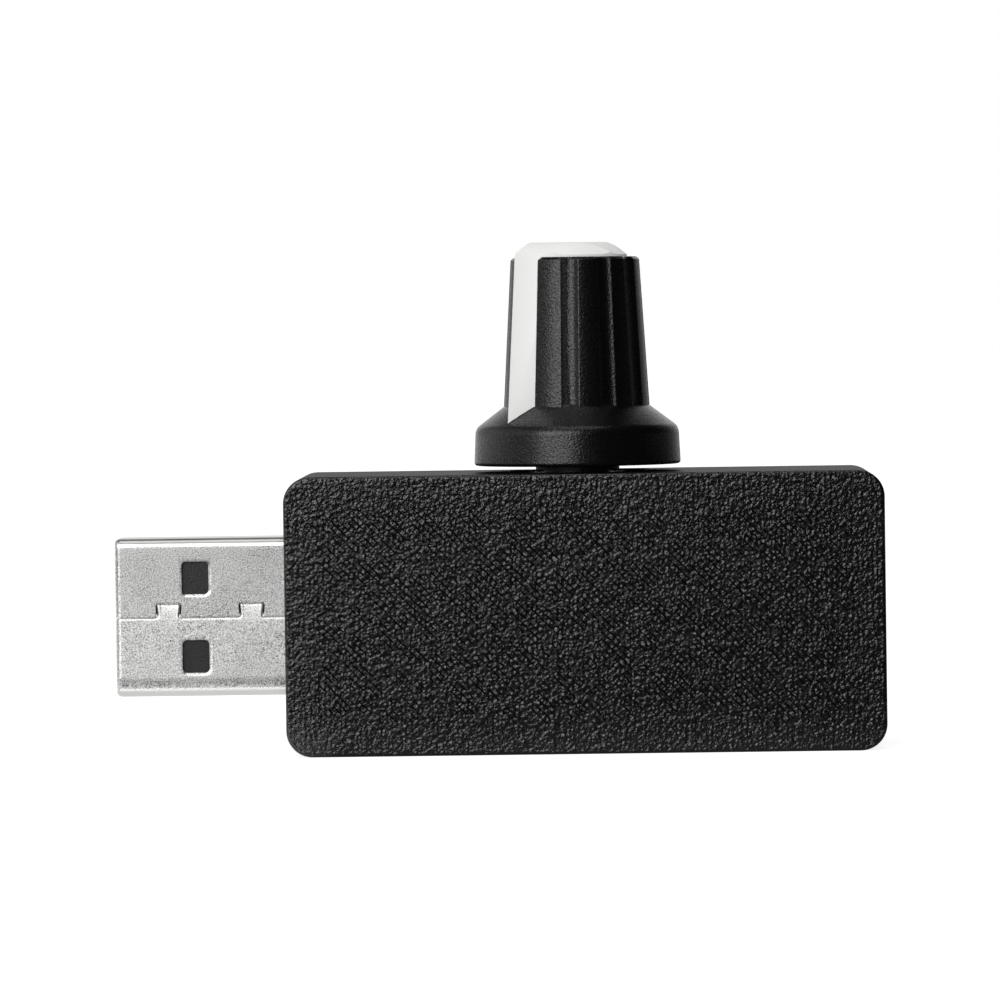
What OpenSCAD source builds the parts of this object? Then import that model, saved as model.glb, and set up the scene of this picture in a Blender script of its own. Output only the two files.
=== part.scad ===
// In-line speed controller for a small USB fan: a printed two-piece case with a
// USB-A plug on its left end, a USB-A socket on its right end and a fluted knob on top.
// X runs from the plug to the socket, Y from the textured face to the rear cover, Z up.
// The origin is the centre of the case's bottom face.

/* [Case] */
// Length of the case, from the plug's end to the socket's end
case_w = 45; // [42:0.5:54]
// Height of the case, from its bottom to the knob's side
case_h = 21; // [20:0.5:28]
// Depth of the case, from the textured face to the rear
case_d = 16; // [15:0.5:22]
// Thickness of the four side walls
side_wall = 2; // [1.6:0.1:2.6]
// Thickness of the textured front wall
face_wall = 2; // [1.2:0.1:2.6]
// Thickness of the rear cover's plate
cover_t = 2; // [1.4:0.1:2.6]
// Radius of the four corners seen from the front
corner_r = 2; // [1:0.1:3]
// Chamfer round the front and rear faces
edge_chamfer = 0.14; // [0.1:0.02:0.6]
// Gap between the case and what fits in it
case_fit = 0.15; // [0.1:0.05:0.3]
// How far the cover's lip reaches into the front shell
lip_depth = 1.8; // [1.4:0.1:2.4]
// Thickness of the cover's lip
lip_t = 1.1; // [0.8:0.1:1.4]
// Radius of the lip's snap beads
bead_r = 0.4; // [0.3:0.05:0.5]
// Length of each snap bead
bead_len = 6; // [4:0.5:8]
// Width of the rear slot that lets the potentiometer in
pot_slot_w = 10.4; // [9.8:0.1:12]
// How far the cover's tongue lies below the top of the case at that slot
tongue_drop = 0.15; // [0:0.05:0.3]
// Radius of the posts that hold the board
post_r = 1.2; // [1:0.1:1.4]
// Radius of the pins on the front posts
pin_r = 0.6; // [0.4:0.05:0.7]

/* [Plug] */
// Width of the plug's shell
plug_w = 12; // [11.9:0.05:12.1]
// Thickness of the plug's shell
plug_t = 4.5; // [4.4:0.05:4.6]
// Whole length of the plug's shell
plug_len = 18.75; // [17.5:0.25:20]
// How far the plug stands out of the case
plug_reach = 13.1; // [12:0.1:14]
// How far the plug's middle lies below the middle of the case
plug_drop = 0.12; // [0:0.02:0.5]
// Thickness of the sheet metal of both connectors
sheet_t = 0.3; // [0.2:0.05:0.4]
// Outer radius of the plug shell's bends
plug_bend_r = 0.65; // [0.5:0.05:0.8]
// Length of a latch window along the plug
window_l = 2.05; // [1.8:0.05:2.3]
// Width of a latch window
window_w = 2.5; // [2.3:0.05:2.7]
// Distance between the middles of the two windows of one face
window_pitch = 5.95; // [5.6:0.05:6.2]
// From the plug's tip to the windows
window_inset = 5.06; // [4.9:0.02:5.4]
// Radius of the window corners
window_r = 0.35; // [0.2:0.05:0.5]
// Height of the dovetail tabs in the shell's seam
tab_h = 1.05; // [0.8:0.05:1.3]
// Width of a dovetail tab at its top
tab_w = 1.9; // [1.6:0.05:2.2]
// How much a tab narrows on each side at its foot
tab_undercut = 0.1; // [0.04:0.02:0.3]
// Rounding of a tab's upper corners and of the corners at its foot
tab_r = 0.22; // [0.1:0.02:0.3]
// From the plug's tip to the middle of the first tab
tab_first = 4.05; // [3.6:0.05:4.4]
// Distance between the two tabs
tab_pitch = 6.3; // [6:0.05:6.6]
// Width of the open line of the seam
seam_gap = 0.06; // [0.04:0.01:0.1]
// Width of the open line along a tab's sides
tab_gap = 0.14; // [0.06:0.02:0.2]
// Thickness of the plug's contact carrier
carrier_t = 1.95; // [1.85:0.05:2.05]
// Depth of the plug's open mouth
mouth_depth = 9.2; // [8.8:0.1:10]

/* [Socket] */
// Inside width of the socket's shell
socket_in_w = 12.5; // [12.4:0.05:12.6]
// Inside height of the socket's shell
socket_in_t = 5.12; // [5:0.02:5.2]
// Length of the socket's shell
socket_len = 13.5; // [12.5:0.25:14]
// How far the socket's mouth lies below the end of the case
socket_recess = 0.3; // [0:0.05:0.6]
// How far the flared lips stand out from the shell
flare = 0.65; // [0.4:0.05:0.8]
// Thickness of the socket's tongue
tongue_t = 1.84; // [1.75:0.03:1.9]
// Width of the socket's tongue
tongue_w = 11.1; // [10.9:0.05:11.2]
// Gap between the tongue and the shell on its blank side
tongue_gap = 0.72; // [0.65:0.03:0.8]
// From the socket's mouth to the tip of its tongue
tongue_inset = 1; // [0.6:0.1:1.6]

/* [Contacts] */
// Width of a contact strip
contact_w = 1; // [0.8:0.05:1.1]
// Thickness of a contact strip
contact_t = 0.25; // [0.2:0.05:0.3]
// Distance from the middle of the row to its inner contacts
contact_inner = 1; // [0.95:0.05:1.05]
// Distance from the middle of the row to its outer contacts
contact_outer = 3.5; // [3.45:0.05:3.55]
// Thickness of a contact's solder tail
tail_t = 0.5; // [0.4:0.05:0.6]
// How far leads stand out of the board's front
lead_out = 0.9; // [0.5:0.1:1.2]

/* [Board] */
// Thickness of the circuit board
board_t = 1.6; // [1.2:0.1:1.6]
// Gap between the board's edge and the case
board_gap = 0.3; // [0.2:0.05:0.5]
// Gap round a lead in its hole
hole_fit = 0.1; // [0.05:0.05:0.15]

/* [Potentiometer] */
// How far the knob's axis lies from the middle of the case, towards the socket
pot_x = -0.45; // [-1:0.05:1]
// Width and depth of the potentiometer's frame
pot_w = 9.8; // [9:0.1:10]
// Thickness of the frame's metal
frame_t = 0.8; // [0.6:0.05:1]
// Height of the plastic housing under the frame
housing_h = 5.2; // [4.8:0.1:5.6]
// Bore of the housing
housing_bore = 8.6; // [8.2:0.1:8.8]
// Thickness of the wafer that closes it
wafer_t = 1.2; // [0.8:0.1:1.4]
// Outer diameter of the bushing
bushing_d = 7; // [6.6:0.1:7.4]
// Diameter of the shaft inside the bushing
neck_d = 5; // [4.5:0.1:5.4]
// Diameter of the shaft above the bushing
shaft_d = 6.35; // [6:0.05:6.5]
// Length of the shaft above the bushing
shaft_len = 11.6; // [9:0.1:12]
// Distance from the shaft's axis to its flat
shaft_flat = 1.6; // [1.4:0.1:2.2]
// Running clearance of the shaft, on the radius
shaft_fit = 0.05; // [0.02:0.01:0.08]
// Angle that the potentiometer turns through
pot_travel = 280; // [260:5:300]

/* [Knob] */
// Diameter of the knob's flange at its lower edge
flange_d = 15.7; // [14:0.1:16]
// How much narrower the flange is at its shoulder
flange_draft = 0.26; // [0:0.02:0.6]
// Rounding of the flange's lower edge
flange_edge_r = 0.25; // [0.1:0.05:0.4]
// Height of the black sleeve
sleeve_h = 15.75; // [14:0.05:17]
// Height at which the sloping shoulder ends and the fluted body starts
shoulder_h = 4.45; // [4:0.05:5]
// Slope of the shoulder
shoulder_angle = 37; // [30:1:45]
// Rounding between the flange's side and the shoulder
shoulder_r = 0.9; // [0.5:0.05:1.2]
// Diameter of the fluted body at its foot
body_d = 11.14; // [10.5:0.02:11.5]
// How much narrower the body is at its top
body_draft = 1.32; // [0.6:0.02:1.6]
// Chamfer of the body's top rim
rim_chamfer = 0.25; // [0.1:0.05:0.4]
// Number of flutes round the body
flute_count = 10; // [8:1:12]
// Angle from the pointer to the first flute on either side of it
flute_first = 41; // [38:0.5:48]
// Radius of a flute's round cut
flute_r = 1.1; // [0.9:0.05:1.4]
// Depth of a flute
flute_depth = 0.27; // [0.15:0.01:0.35]
// Gap between the flange and the case
knob_gap = 0.5; // [0.3:0.05:1]
// Thickness of the flange's rim round its hollow underside
rim_t = 1.2; // [0.9:0.05:1.5]
// Depth of the hollow underside
hollow_h = 2.4; // [1.8:0.1:2.6]
// Diameter of the white core
core_d = 7.9; // [7.6:0.05:8.2]
// How far the core stands above the sleeve
core_rise = 1.1; // [0.8:0.05:1.4]
// Rounding of the core's top edge
core_edge_r = 0.95; // [0.5:0.05:1]
// Rounding of the pointer's top edges
pointer_edge_r = 0.85; // [0.4:0.05:0.9]
// Distance from the axis to the pointer's edge at its foot
pointer_r = 7.2; // [6.6:0.05:7.4]
// Half of the angle between the pointer's two flanks
pointer_half = 33; // [28:1:36]
// Gap between the core and the sleeve
core_fit = 0.04; // [0.02:0.01:0.08]
// Angle of the pointer to the left of the front
pointer_turn = 46; // [0:1:90]

/* [Hidden] */
$fn = 48;
cut = 1;

// Case planes
face_y = -case_d / 2;
cavity_y = face_y + face_wall;
rear_y = case_d / 2;
split_y = rear_y - cover_t;
left_x = -case_w / 2;
right_x = case_w / 2;
mid_z = case_h / 2;
ceiling_z = case_h - side_wall;
inner_w = case_w - 2 * side_wall;
inner_h = case_h - 2 * side_wall;
inner_r = max(corner_r - side_wall, 0.5);
bead_span = inner_w / 2 - bead_len;
bead_y = split_y - lip_depth / 2;

// Plug planes: its carrier lies on the front side, against the seam
plug_y = 0;
plug_mid = mid_z - plug_drop;
plug_tip = left_x - plug_reach;
plug_rear = plug_tip + plug_len;
plug_low = plug_y - plug_t / 2;
bend_steps = 4;
carrier_low = plug_low + sheet_t;
carrier_top = carrier_low + carrier_t;
carrier_inset = 0.5;
carrier_tip = plug_tip + carrier_inset;
carrier_nose = 0.42;
contact_inset = 1.6;
contact_tip = plug_tip + contact_inset;
block_x = plug_tip + mouth_depth;
carrier_fit = 0.02;
carrier_back = 0.3;
leg_l = 2;
leg_x = plug_rear - leg_l - carrier_back;

// Board planes: the plug and the socket stand on its rear side
board_rear = plug_low;
board_front = board_rear - board_t;
board_left = left_x + side_wall + board_gap;
board_right = right_x - side_wall - board_gap;
board_low = side_wall + board_gap;
board_top = case_h - side_wall - board_gap;
lead_end = board_front - lead_out;
post_clear = 0.1;
post_margin = 0.5;
post_edge = post_r + post_margin;
post_left = plug_rear + post_r + post_margin - post_clear;

// Socket planes
socket_mouth = right_x - socket_recess;
socket_rear = socket_mouth - socket_len;
socket_low = board_rear;
socket_out_w = socket_in_w + 2 * sheet_t;
socket_out_t = socket_in_t + 2 * sheet_t;
socket_high = socket_low + socket_out_t;
socket_y = socket_low + socket_out_t / 2;
socket_bend_r = 0.6;
tongue_high = socket_high - sheet_t - tongue_gap;
tongue_low = tongue_high - tongue_t;
socket_block_l = 3.2;
socket_block_x = socket_rear + carrier_back;
socket_leg_set = 4;
socket_leg_x = socket_rear + socket_leg_set;
strip_inset = 0.8;
spring_l = 6;
spring_w = 1.6;
spring_dip = 0.4;
spring_pitch = 5.6;
spring_inset = 2.2;
spring_end = socket_mouth - spring_inset;
spring_nose = 1;
spring_gap = 0.3;
tail_x = 0.75;
post_right = socket_rear - tail_x - tail_t / 2 - post_r - 0.2;

// Potentiometer planes
pot_seat = 0.1;
pot_top = ceiling_z - pot_seat;
housing_top = pot_top - frame_t;
wafer_top = housing_top - housing_h;
wafer_low = wafer_top - wafer_t;
bushing_top = case_h - pot_seat;
bushing_lip_h = 0.6;
bushing_lip_w = 0.45;
bushing_lip_d = bushing_d + 2 * bushing_lip_w;
shaft_lift = 0.15;
shoulder_z = case_h + shaft_lift;
shaft_top = shoulder_z + shaft_len;
flat_rise = 2.4;
flat_z = shoulder_z + flat_rise;
arm_w = 5;
ear_l = 2.5;
ear_h = 2.4;
ear_z = wafer_top;
pin_pitch = 2.5;
terminal_t = 0.4;
terminal_w = 0.8;
terminal_l = 2.4;
terminal_low = wafer_low - terminal_l;
terminal_foot = 1.6;
clench = 0.8;
track_t = 0.1;
track_r = 3.3;
track_w = 1.2;
ring_r = 1.5;
ring_w = 0.7;
wiper_gap = 0.12;
wiper_t = 0.2;
wiper_z = wafer_top + track_t + wiper_gap;
wiper_h = 0.9;
rotor_z = wiper_z + wiper_h;
rotor_run = 0.2;
rotor_h = housing_top - bushing_lip_h - rotor_run - rotor_z;
rotor_gap = 0.4;
rotor_d = housing_bore - 2 * rotor_gap;
neck_low = rotor_z;

// Knob planes
knob_z = case_h + knob_gap;
flange_r = flange_d / 2;
side_r = flange_r - flange_draft / 2;
body_r = body_d / 2;
top_r = body_r - body_draft / 2;
draft_angle = atan((body_r - top_r) / (sleeve_h - shoulder_h));
draft_scale = top_r / body_r;
flange_corner = shoulder_h - (side_r - body_r) * tan(shoulder_angle);
side_angle = atan((flange_r - side_r) / flange_corner);
shoulder_run = shoulder_r * tan((90 - shoulder_angle - side_angle) / 2);
side_end = [side_r, flange_corner] + shoulder_run * [sin(side_angle), -cos(side_angle)];
slope_start = [side_r, flange_corner] + shoulder_run * [-cos(shoulder_angle), sin(shoulder_angle)];
slope_inner = body_r - 2 * flute_depth;
slope_top = shoulder_h + (body_r - slope_inner) * tan(shoulder_angle);
flute_step = (360 - 2 * flute_first) / (flute_count - 1);
core_r = core_d / 2;
core_foot = 0.6;
core_top = sleeve_h + core_rise;
pointer_foot = shoulder_h - (pointer_r - body_r) * tan(shoulder_angle);
pointer_back = 2.4;
pointer_dir = 270 - pointer_turn;
bore_r = shaft_d / 2 + shaft_fit / 2;

// Parts on the board
bay_x = (post_left + post_r + pot_x - pot_w / 2 - ear_l) / 2;
chip_l = 4.9;
chip_w = 3.9;
chip_h = 1.5;
chip_stand = 0.15;
chip_rise = 0.5;
chip_lead = 1.05;
chip_lead_w = 0.4;
chip_lead_t = 0.2;
chip_lead_z = 0.8;
chip_pitch = 1.27;
can_d = 5;
can_h = 5.4;
can_base = 5.2;
can_base_h = 0.8;
can_edge = 0.3;
can_groove_r = 0.35;
can_groove_out = 0.1;
diode_l = 4.2;
diode_w = 2.6;
diode_h = 2;
diode_edge = 0.8;
diode_stand = 0.1;
strap_w = 1.4;
strap_t = 0.25;
strap_h = 1.1;
strap_foot = 0.9;
transistor_l = 4.5;
transistor_w = 2.5;
transistor_h = 1.5;
transistor_edge = 2.6;
transistor_lead_w = 0.5;
transistor_lead_l = 0.8;
transistor_lead_t = 0.4;
transistor_pitch = 1.5;
transistor_tab_w = 1.6;
transistor_sink = 0.2;
small_l = 2;
small_w = 1.25;
small_h = 0.6;
small_pitch = 2;
small_cap = 0.45;
small_step = 0.03;
smoothing_edge = 2.2;
resistor_drop = 2;

// Helpers

// Rounded rectangle about the origin
module rounded_rect(w, h, r) {
  square([w - 2 * r, h], center = true);
  square([w, h - 2 * r], center = true);
  for (x = [-1, 1], y = [-1, 1])
    translate([x * (w / 2 - r), y * (h / 2 - r)]) circle(r);
}

// Stands a flat shape up in X and Z, and gives it depth from y0 to y1
module depth(y0, y1) {
  translate([0, y1, 0]) rotate([90, 0, 0]) linear_extrude(y1 - y0) children();
}

// Stands a flat shape up in Y and Z, and gives it length from x0 to x1
module along(x0, x1) {
  translate([x0, 0, 0]) rotate([90, 0, 90]) linear_extrude(x1 - x0) children();
}

// Box between two corners
module box(low, high) {
  translate(low) cube(high - low);
}

// Round post along Y
module post(x, z, y0, y1, r) {
  translate([x, y0, z]) rotate([-90, 0, 0]) cylinder(r = r, h = y1 - y0);
}

// Puts its children at the four posts of the board
module at_posts() {
  for (x = [post_left, post_right], z = [board_low + post_edge, board_top - post_edge])
    translate([x, 0, z]) children();
}

// Offsets of the four contacts from the middle of their row
contact_row = [-contact_outer, -contact_inner, contact_inner, contact_outer];

// Case

// Outline of the case, grown or shrunk on every side
module case_outline(w, h, r) {
  translate([0, mid_z]) rounded_rect(w, h, r);
}

// Case block with chamfered front and rear edges
module case_block(y0, y1) {
  c = edge_chamfer;
  intersection() {
    depth(y0, y1) case_outline(case_w, case_h, corner_r);
    linear_extrude(case_h) chamfered(case_w, c);
    translate([left_x, 0, 0]) rotate([90, 0, 90]) linear_extrude(case_w)
      translate([0, mid_z]) rotate(90) chamfered(case_h, c);
  }
}

// Rectangle of the case's depth with all four corners cut
module chamfered(w, c) {
  polygon([
    [-w / 2 + c, face_y], [w / 2 - c, face_y], [w / 2, face_y + c], [w / 2, rear_y - c],
    [w / 2 - c, rear_y], [-w / 2 + c, rear_y], [-w / 2, rear_y - c], [-w / 2, face_y + c]
  ]);
}

// Opening for the plug, open to the rear
module plug_slot(fit) {
  box([left_x - cut, plug_low - fit, plug_mid - plug_w / 2 - fit],
      [left_x + side_wall + cut, rear_y + cut, plug_mid + plug_w / 2 + fit]);
}

// Opening for the socket and its flared lips, open to the rear
module socket_slot(fit) {
  reach = flare + fit;
  box([right_x - side_wall - cut, socket_low - reach, mid_z - socket_out_w / 2 - reach],
      [right_x + cut, rear_y + cut, mid_z + socket_out_w / 2 + reach]);
}

// Hole for the bushing
module bushing_hole(fit) {
  translate([pot_x, 0, ceiling_z - cut]) cylinder(r = bushing_d / 2 + fit, h = side_wall + 2 * cut);
}

// Slot behind the bushing, open to the rear
module pot_slot(fit) {
  box([pot_x - pot_slot_w / 2 - fit, 0, ceiling_z - cut],
      [pot_x + pot_slot_w / 2 + fit, rear_y + cut, case_h + cut]);
}

// Bars along the top and bottom walls where the cover snaps in
module snap_bars(r, l) {
  for (x = [-1, 1], z = [side_wall + case_fit, ceiling_z - case_fit])
    translate([x * bead_span - l / 2, bead_y, z]) rotate([0, 90, 0]) cylinder(r = r, h = l);
}

// Deep tray with the textured face, its walls slotted to take the board in from the rear
module front_shell() {
  color("#2b2b2d") {
    difference() {
      case_block(face_y, split_y);
      depth(cavity_y, rear_y) case_outline(inner_w, inner_h, inner_r);
      plug_slot(case_fit);
      socket_slot(case_fit);
      bushing_hole(case_fit);
      pot_slot(0);
      snap_bars(bead_r + case_fit, bead_len + 2 * case_fit);
    }
    at_posts() {
      post(0, 0, cavity_y, board_front, post_r);
      post(0, 0, cavity_y, board_rear - post_clear, pin_r);
    }
  }
}

// Rear plate with the lip, the snap beads, the posts and the tongues that close the slots
module rear_cover() {
  lip_w = inner_w - 2 * case_fit;
  lip_h = inner_h - 2 * case_fit;
  color("#2b2b2d") {
    case_block(split_y, rear_y);
    difference() {
      union() {
        depth(split_y - lip_depth, split_y) case_outline(lip_w, lip_h, inner_r);
        snap_bars(bead_r, bead_len);
      }
      depth(split_y - lip_depth - cut, split_y + cut)
        case_outline(lip_w - 2 * lip_t, lip_h - 2 * lip_t, inner_r);
      box([pot_x - pot_slot_w / 2, split_y - lip_depth - cut, mid_z],
          [pot_x + pot_slot_w / 2, split_y + cut, case_h]);
      depth(split_y, rear_y + cut) case_outline(case_w, case_h, corner_r);
    }
    box([left_x, plug_y + plug_t / 2 + case_fit, plug_mid - plug_w / 2],
        [left_x + side_wall, split_y, plug_mid + plug_w / 2]);
    box([right_x - side_wall, socket_high + flare + case_fit, mid_z - socket_out_w / 2 - flare],
        [right_x, split_y, mid_z + socket_out_w / 2 + flare]);
    difference() {
      box([pot_x - pot_slot_w / 2 + case_fit, case_fit, ceiling_z],
          [pot_x + pot_slot_w / 2 - case_fit, split_y, case_h - tongue_drop]);
      bushing_hole(case_fit);
    }
    at_posts() post(0, 0, board_rear + post_clear, split_y, post_r);
  }
}

// Board

// Board with the notch for the potentiometer and the holes for pins, leads and legs
module circuit_board() {
  notch_w = pot_w + 2 * board_gap;
  color("#1f5a3a") difference() {
    box([board_left, board_front, board_low], [board_right, board_rear, board_top]);
    box([pot_x - notch_w / 2, board_front - cut, wafer_low - 2 * board_gap],
        [pot_x + notch_w / 2, board_rear + cut, board_top + cut]);
    at_posts() post(0, 0, board_front - cut, board_rear + cut, pin_r + hole_fit);
    plug_leads(hole_fit);
    socket_leads(hole_fit);
  }
}

// Plug

// Cross-section of the plug, shrunk on every side
module plug_section(inset) {
  translate([plug_y, plug_mid])
    rounded_rect(plug_t - 2 * inset, plug_w - 2 * inset, max(plug_bend_r - inset, 0.1));
}

// Straight open line from one point to the next
module slit(from, to, gap) {
  run = to - from;
  translate(from) rotate(atan2(run[1], run[0])) translate([-gap / 2, -gap / 2])
    square([norm(run) + gap, gap]);
}

// Points of a bend that starts at one point, heads for a corner and ends at another point
function bend(from, corner, to) = [
  for (i = [0 : bend_steps], t = [i / bend_steps])
    (1 - t) ^ 2 * from + 2 * t * (1 - t) * corner + t ^ 2 * to
];

// The right half of a tab's outline from its foot to the middle of its top
function tab_side() =
  let (foot = [tab_w / 2 - tab_undercut, 0], head = [tab_w / 2, tab_h], rise = tab_r * (head - foot) / tab_h)
  concat(
    bend(foot + [tab_r, 0], foot, foot + rise),
    bend(head - rise, head, head - [tab_r, 0])
  );

// Seam of the folded shell, with its two dovetail tabs
module seam() {
  side = tab_side();
  last = len(side) - 1;
  tab = concat([for (p = side) [-p[0], p[1]]], [for (i = [0 : last]) side[last - i]]);
  line = concat(
    [[plug_tip - cut, 0]],
    [for (i = [0, 1], p = tab) [plug_tip + tab_first + i * tab_pitch + p[0], p[1]]],
    [[plug_rear + cut, 0]]
  );
  translate([0, plug_mid]) for (i = [1 : len(line) - 1]) {
    rise = abs(line[i][1] - line[i - 1][1]);
    slit(line[i - 1], line[i], rise > tab_r ? tab_gap : seam_gap);
  }
}

// Four latch windows, two on each broad side
module windows() {
  for (z = [-1, 1]) translate([plug_tip + window_inset + window_l / 2, plug_mid + z * window_pitch / 2])
    rounded_rect(window_l, window_w, window_r);
}

// Two legs of the shell, grown by a fit, that hold the plug on the board
module plug_legs(fit) {
  for (z = [plug_mid - plug_w / 2, plug_mid + plug_w / 2 - sheet_t])
    box([leg_x - fit, lead_end, z - fit], [leg_x + leg_l + fit, plug_y, z + sheet_t + fit]);
}

// Four solder tails behind the plug, grown by a fit
module plug_tails(fit) {
  for (z = contact_row)
    box([plug_rear + tail_x - tail_t / 2 - fit, lead_end, plug_mid + z - tail_t / 2 - fit],
        [plug_rear + tail_x + tail_t / 2 + fit, carrier_top, plug_mid + z + tail_t / 2 + fit]);
}

// What the board is drilled for at the plug
module plug_leads(fit) {
  intersection() {
    union() {
      plug_legs(fit);
      plug_tails(fit);
    }
    box([plug_tip, board_front - cut, 0], [right_x, board_rear, case_h]);
  }
}

// Stamped shell, folded round to a seam with dovetail tabs
module usb_plug_shell() {
  color("#b9b9b6") {
    difference() {
      along(plug_tip, plug_rear) difference() {
        plug_section(0);
        plug_section(sheet_t);
      }
      depth(plug_low - cut, plug_low + sheet_t) seam();
      depth(plug_low - cut, plug_y + plug_t) windows();
    }
    intersection() {
      plug_legs(0);
      box([plug_tip, lead_end, 0], [right_x, plug_low + plug_bend_r, case_h]);
    }
  }
}

// Strips of the four contacts, grown by a fit
module plug_strips(fit) {
  for (z = contact_row)
    box([contact_tip - fit, carrier_top - contact_t - fit, plug_mid + z - contact_w / 2 - fit],
        [plug_rear + tail_x + tail_t / 2, carrier_top + fit, plug_mid + z + contact_w / 2 + fit]);
}

// Plastic carrier: a flat tongue against the seam, and a block that fills the shell behind
module usb_plug_carrier() {
  inset = sheet_t + carrier_fit;
  color("#141414") difference() {
    along(carrier_tip, plug_rear - carrier_back) plug_section(inset);
    box([plug_tip - cut, carrier_top, 0], [block_x, rear_y, case_h]);
    plug_strips(carrier_fit);
    translate([carrier_tip, carrier_top, 0]) rotate([0, 0, 45])
      translate([-carrier_nose / sqrt(2), -carrier_nose / sqrt(2), 0])
        cube([carrier_nose * sqrt(2), carrier_nose * sqrt(2), case_h]);
  }
}

// Four contacts, lying in the carrier and turned down to the board behind it
module usb_plug_contacts() {
  color("#d8b45a") {
    plug_strips(0);
    plug_tails(0);
  }
}

// Socket

// Cross-section of the socket, shrunk on every side
module socket_section(inset) {
  translate([socket_y, mid_z])
    rounded_rect(socket_out_t - 2 * inset, socket_out_w - 2 * inset, max(socket_bend_r - inset, 0.1));
}

// Flared lip along one side of the mouth, drawn in its own plane and given a length
module lip(l) {
  translate([0, 0, -l / 2]) linear_extrude(l) polygon([
    [-flare - sheet_t, 0], [-flare, 0], [0, flare], [0, flare - sheet_t * sqrt(2)], [-sheet_t, -sheet_t],
    [-flare - sheet_t, -sheet_t]
  ]);
}

// Four lips round the socket's mouth
module socket_lips() {
  long_l = socket_out_w - 2 * socket_bend_r;
  short_l = socket_out_t - 2 * socket_bend_r;
  translate([socket_mouth, socket_high, mid_z]) lip(long_l);
  translate([socket_mouth, socket_low, mid_z]) mirror([0, 1, 0]) lip(long_l);
  translate([socket_mouth, socket_y, mid_z + socket_out_w / 2]) rotate([90, 0, 0]) lip(short_l);
  translate([socket_mouth, socket_y, mid_z - socket_out_w / 2]) rotate([-90, 0, 0]) lip(short_l);
}

// Leaf spring pressed in from the rear-side wall of the socket
module spring() {
  root_x = spring_end - spring_l;
  bend_x = spring_end - spring_nose;
  translate([0, 0, -spring_w / 2]) linear_extrude(spring_w) polygon([
    [root_x, 0], [bend_x, -spring_dip], [spring_end, -spring_dip / 2],
    [spring_end, -spring_dip / 2 - sheet_t], [bend_x, -spring_dip - sheet_t], [root_x, -sheet_t]
  ]);
}

// Openings that the leaf springs are cut from
module spring_windows() {
  for (z = [-1, 1]) translate([0, 0, mid_z + z * spring_pitch / 2])
    box([spring_end - spring_l, -case_d, -spring_w / 2 - spring_gap],
        [spring_end + spring_gap, case_d, spring_w / 2 + spring_gap]);
}

// Two legs of the socket's shell, grown by a fit
module socket_legs(fit) {
  for (z = [mid_z - socket_out_w / 2, mid_z + socket_out_w / 2 - sheet_t])
    box([socket_leg_x - fit, lead_end, z - fit], [socket_leg_x + leg_l + fit, socket_y, z + sheet_t + fit]);
}

// Four solder tails behind the socket, grown by a fit
module socket_tails(fit) {
  for (z = contact_row)
    box([socket_rear - tail_x - tail_t / 2 - fit, lead_end, mid_z + z - tail_t / 2 - fit],
        [socket_rear - tail_x + tail_t / 2 + fit, tongue_low + contact_t, mid_z + z + tail_t / 2 + fit]);
}

// What the board is drilled for at the socket
module socket_leads(fit) {
  intersection() {
    union() {
      socket_legs(fit);
      socket_tails(fit);
    }
    box([left_x, board_front - cut, 0], [right_x, board_rear, case_h]);
  }
}

// Sheet-metal shell with flared lips and pressed-in leaf springs
module usb_socket_shell() {
  color("#c4c4c2") {
    difference() {
      along(socket_rear, socket_mouth) difference() {
        socket_section(0);
        socket_section(sheet_t);
      }
      spring_windows();
    }
    for (z = [-1, 1]) translate([0, 0, mid_z + z * spring_pitch / 2]) {
      translate([0, socket_high, 0]) spring();
      translate([0, socket_low, 0]) mirror([0, 1, 0]) spring();
    }
    socket_lips();
    intersection() {
      socket_legs(0);
      box([left_x, lead_end, 0], [right_x, socket_low + socket_bend_r, case_h]);
    }
  }
}

// Strips of the socket's contacts, grown by a fit
module socket_strips(fit) {
  for (z = contact_row)
    box([socket_rear - tail_x - tail_t / 2, tongue_low - fit, mid_z + z - contact_w / 2 - fit],
        [socket_mouth - tongue_inset - strip_inset + fit, tongue_low + contact_t + fit,
         mid_z + z + contact_w / 2 + fit]);
}

// Plastic carrier: a block that fills the rear of the shell, and the tongue
module usb_socket_carrier() {
  color("#f0efe9") difference() {
    union() {
      along(socket_block_x, socket_rear + socket_block_l) socket_section(sheet_t + carrier_fit);
      box([socket_block_x, tongue_low, mid_z - tongue_w / 2],
          [socket_mouth - tongue_inset, tongue_high, mid_z + tongue_w / 2]);
    }
    socket_strips(carrier_fit);
  }
}

// Four contacts under the tongue, turned down to the board behind the carrier
module usb_socket_contacts() {
  color("#d8b45a") {
    socket_strips(0);
    socket_tails(0);
  }
}

// Potentiometer

// Puts its children on the knob's axis
module on_axis(z) {
  translate([pot_x, 0, z]) children();
}

// Square plate centred on the knob's axis
module pot_plate(w, z0, z1) {
  on_axis(z0) translate([-w / 2, -w / 2, 0]) cube([w, w, z1 - z0]);
}

// Metal frame: a plate with two arms clenched under the wafer, and ears on the board
module pot_frame() {
  arm_t = frame_t / 2;
  color("#aaa9a4") {
    difference() {
      pot_plate(pot_w, housing_top, pot_top);
      on_axis(housing_top - cut) cylinder(r = bushing_d / 2 + carrier_fit, h = frame_t + 2 * cut);
    }
    for (side = [-1, 1]) on_axis(0) mirror([side < 0 ? 1 : 0, 0, 0]) {
      box([pot_w / 2 - arm_t, -arm_w / 2, wafer_low - arm_t], [pot_w / 2, arm_w / 2, housing_top]);
      box([pot_w / 2 - arm_t - clench, -arm_w / 2, wafer_low - arm_t], [pot_w / 2, arm_w / 2, wafer_low]);
      box([pot_w / 2 - arm_t, board_rear, ear_z], [pot_w / 2 + ear_l, board_rear + frame_t, ear_z + ear_h]);
    }
  }
}

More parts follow.
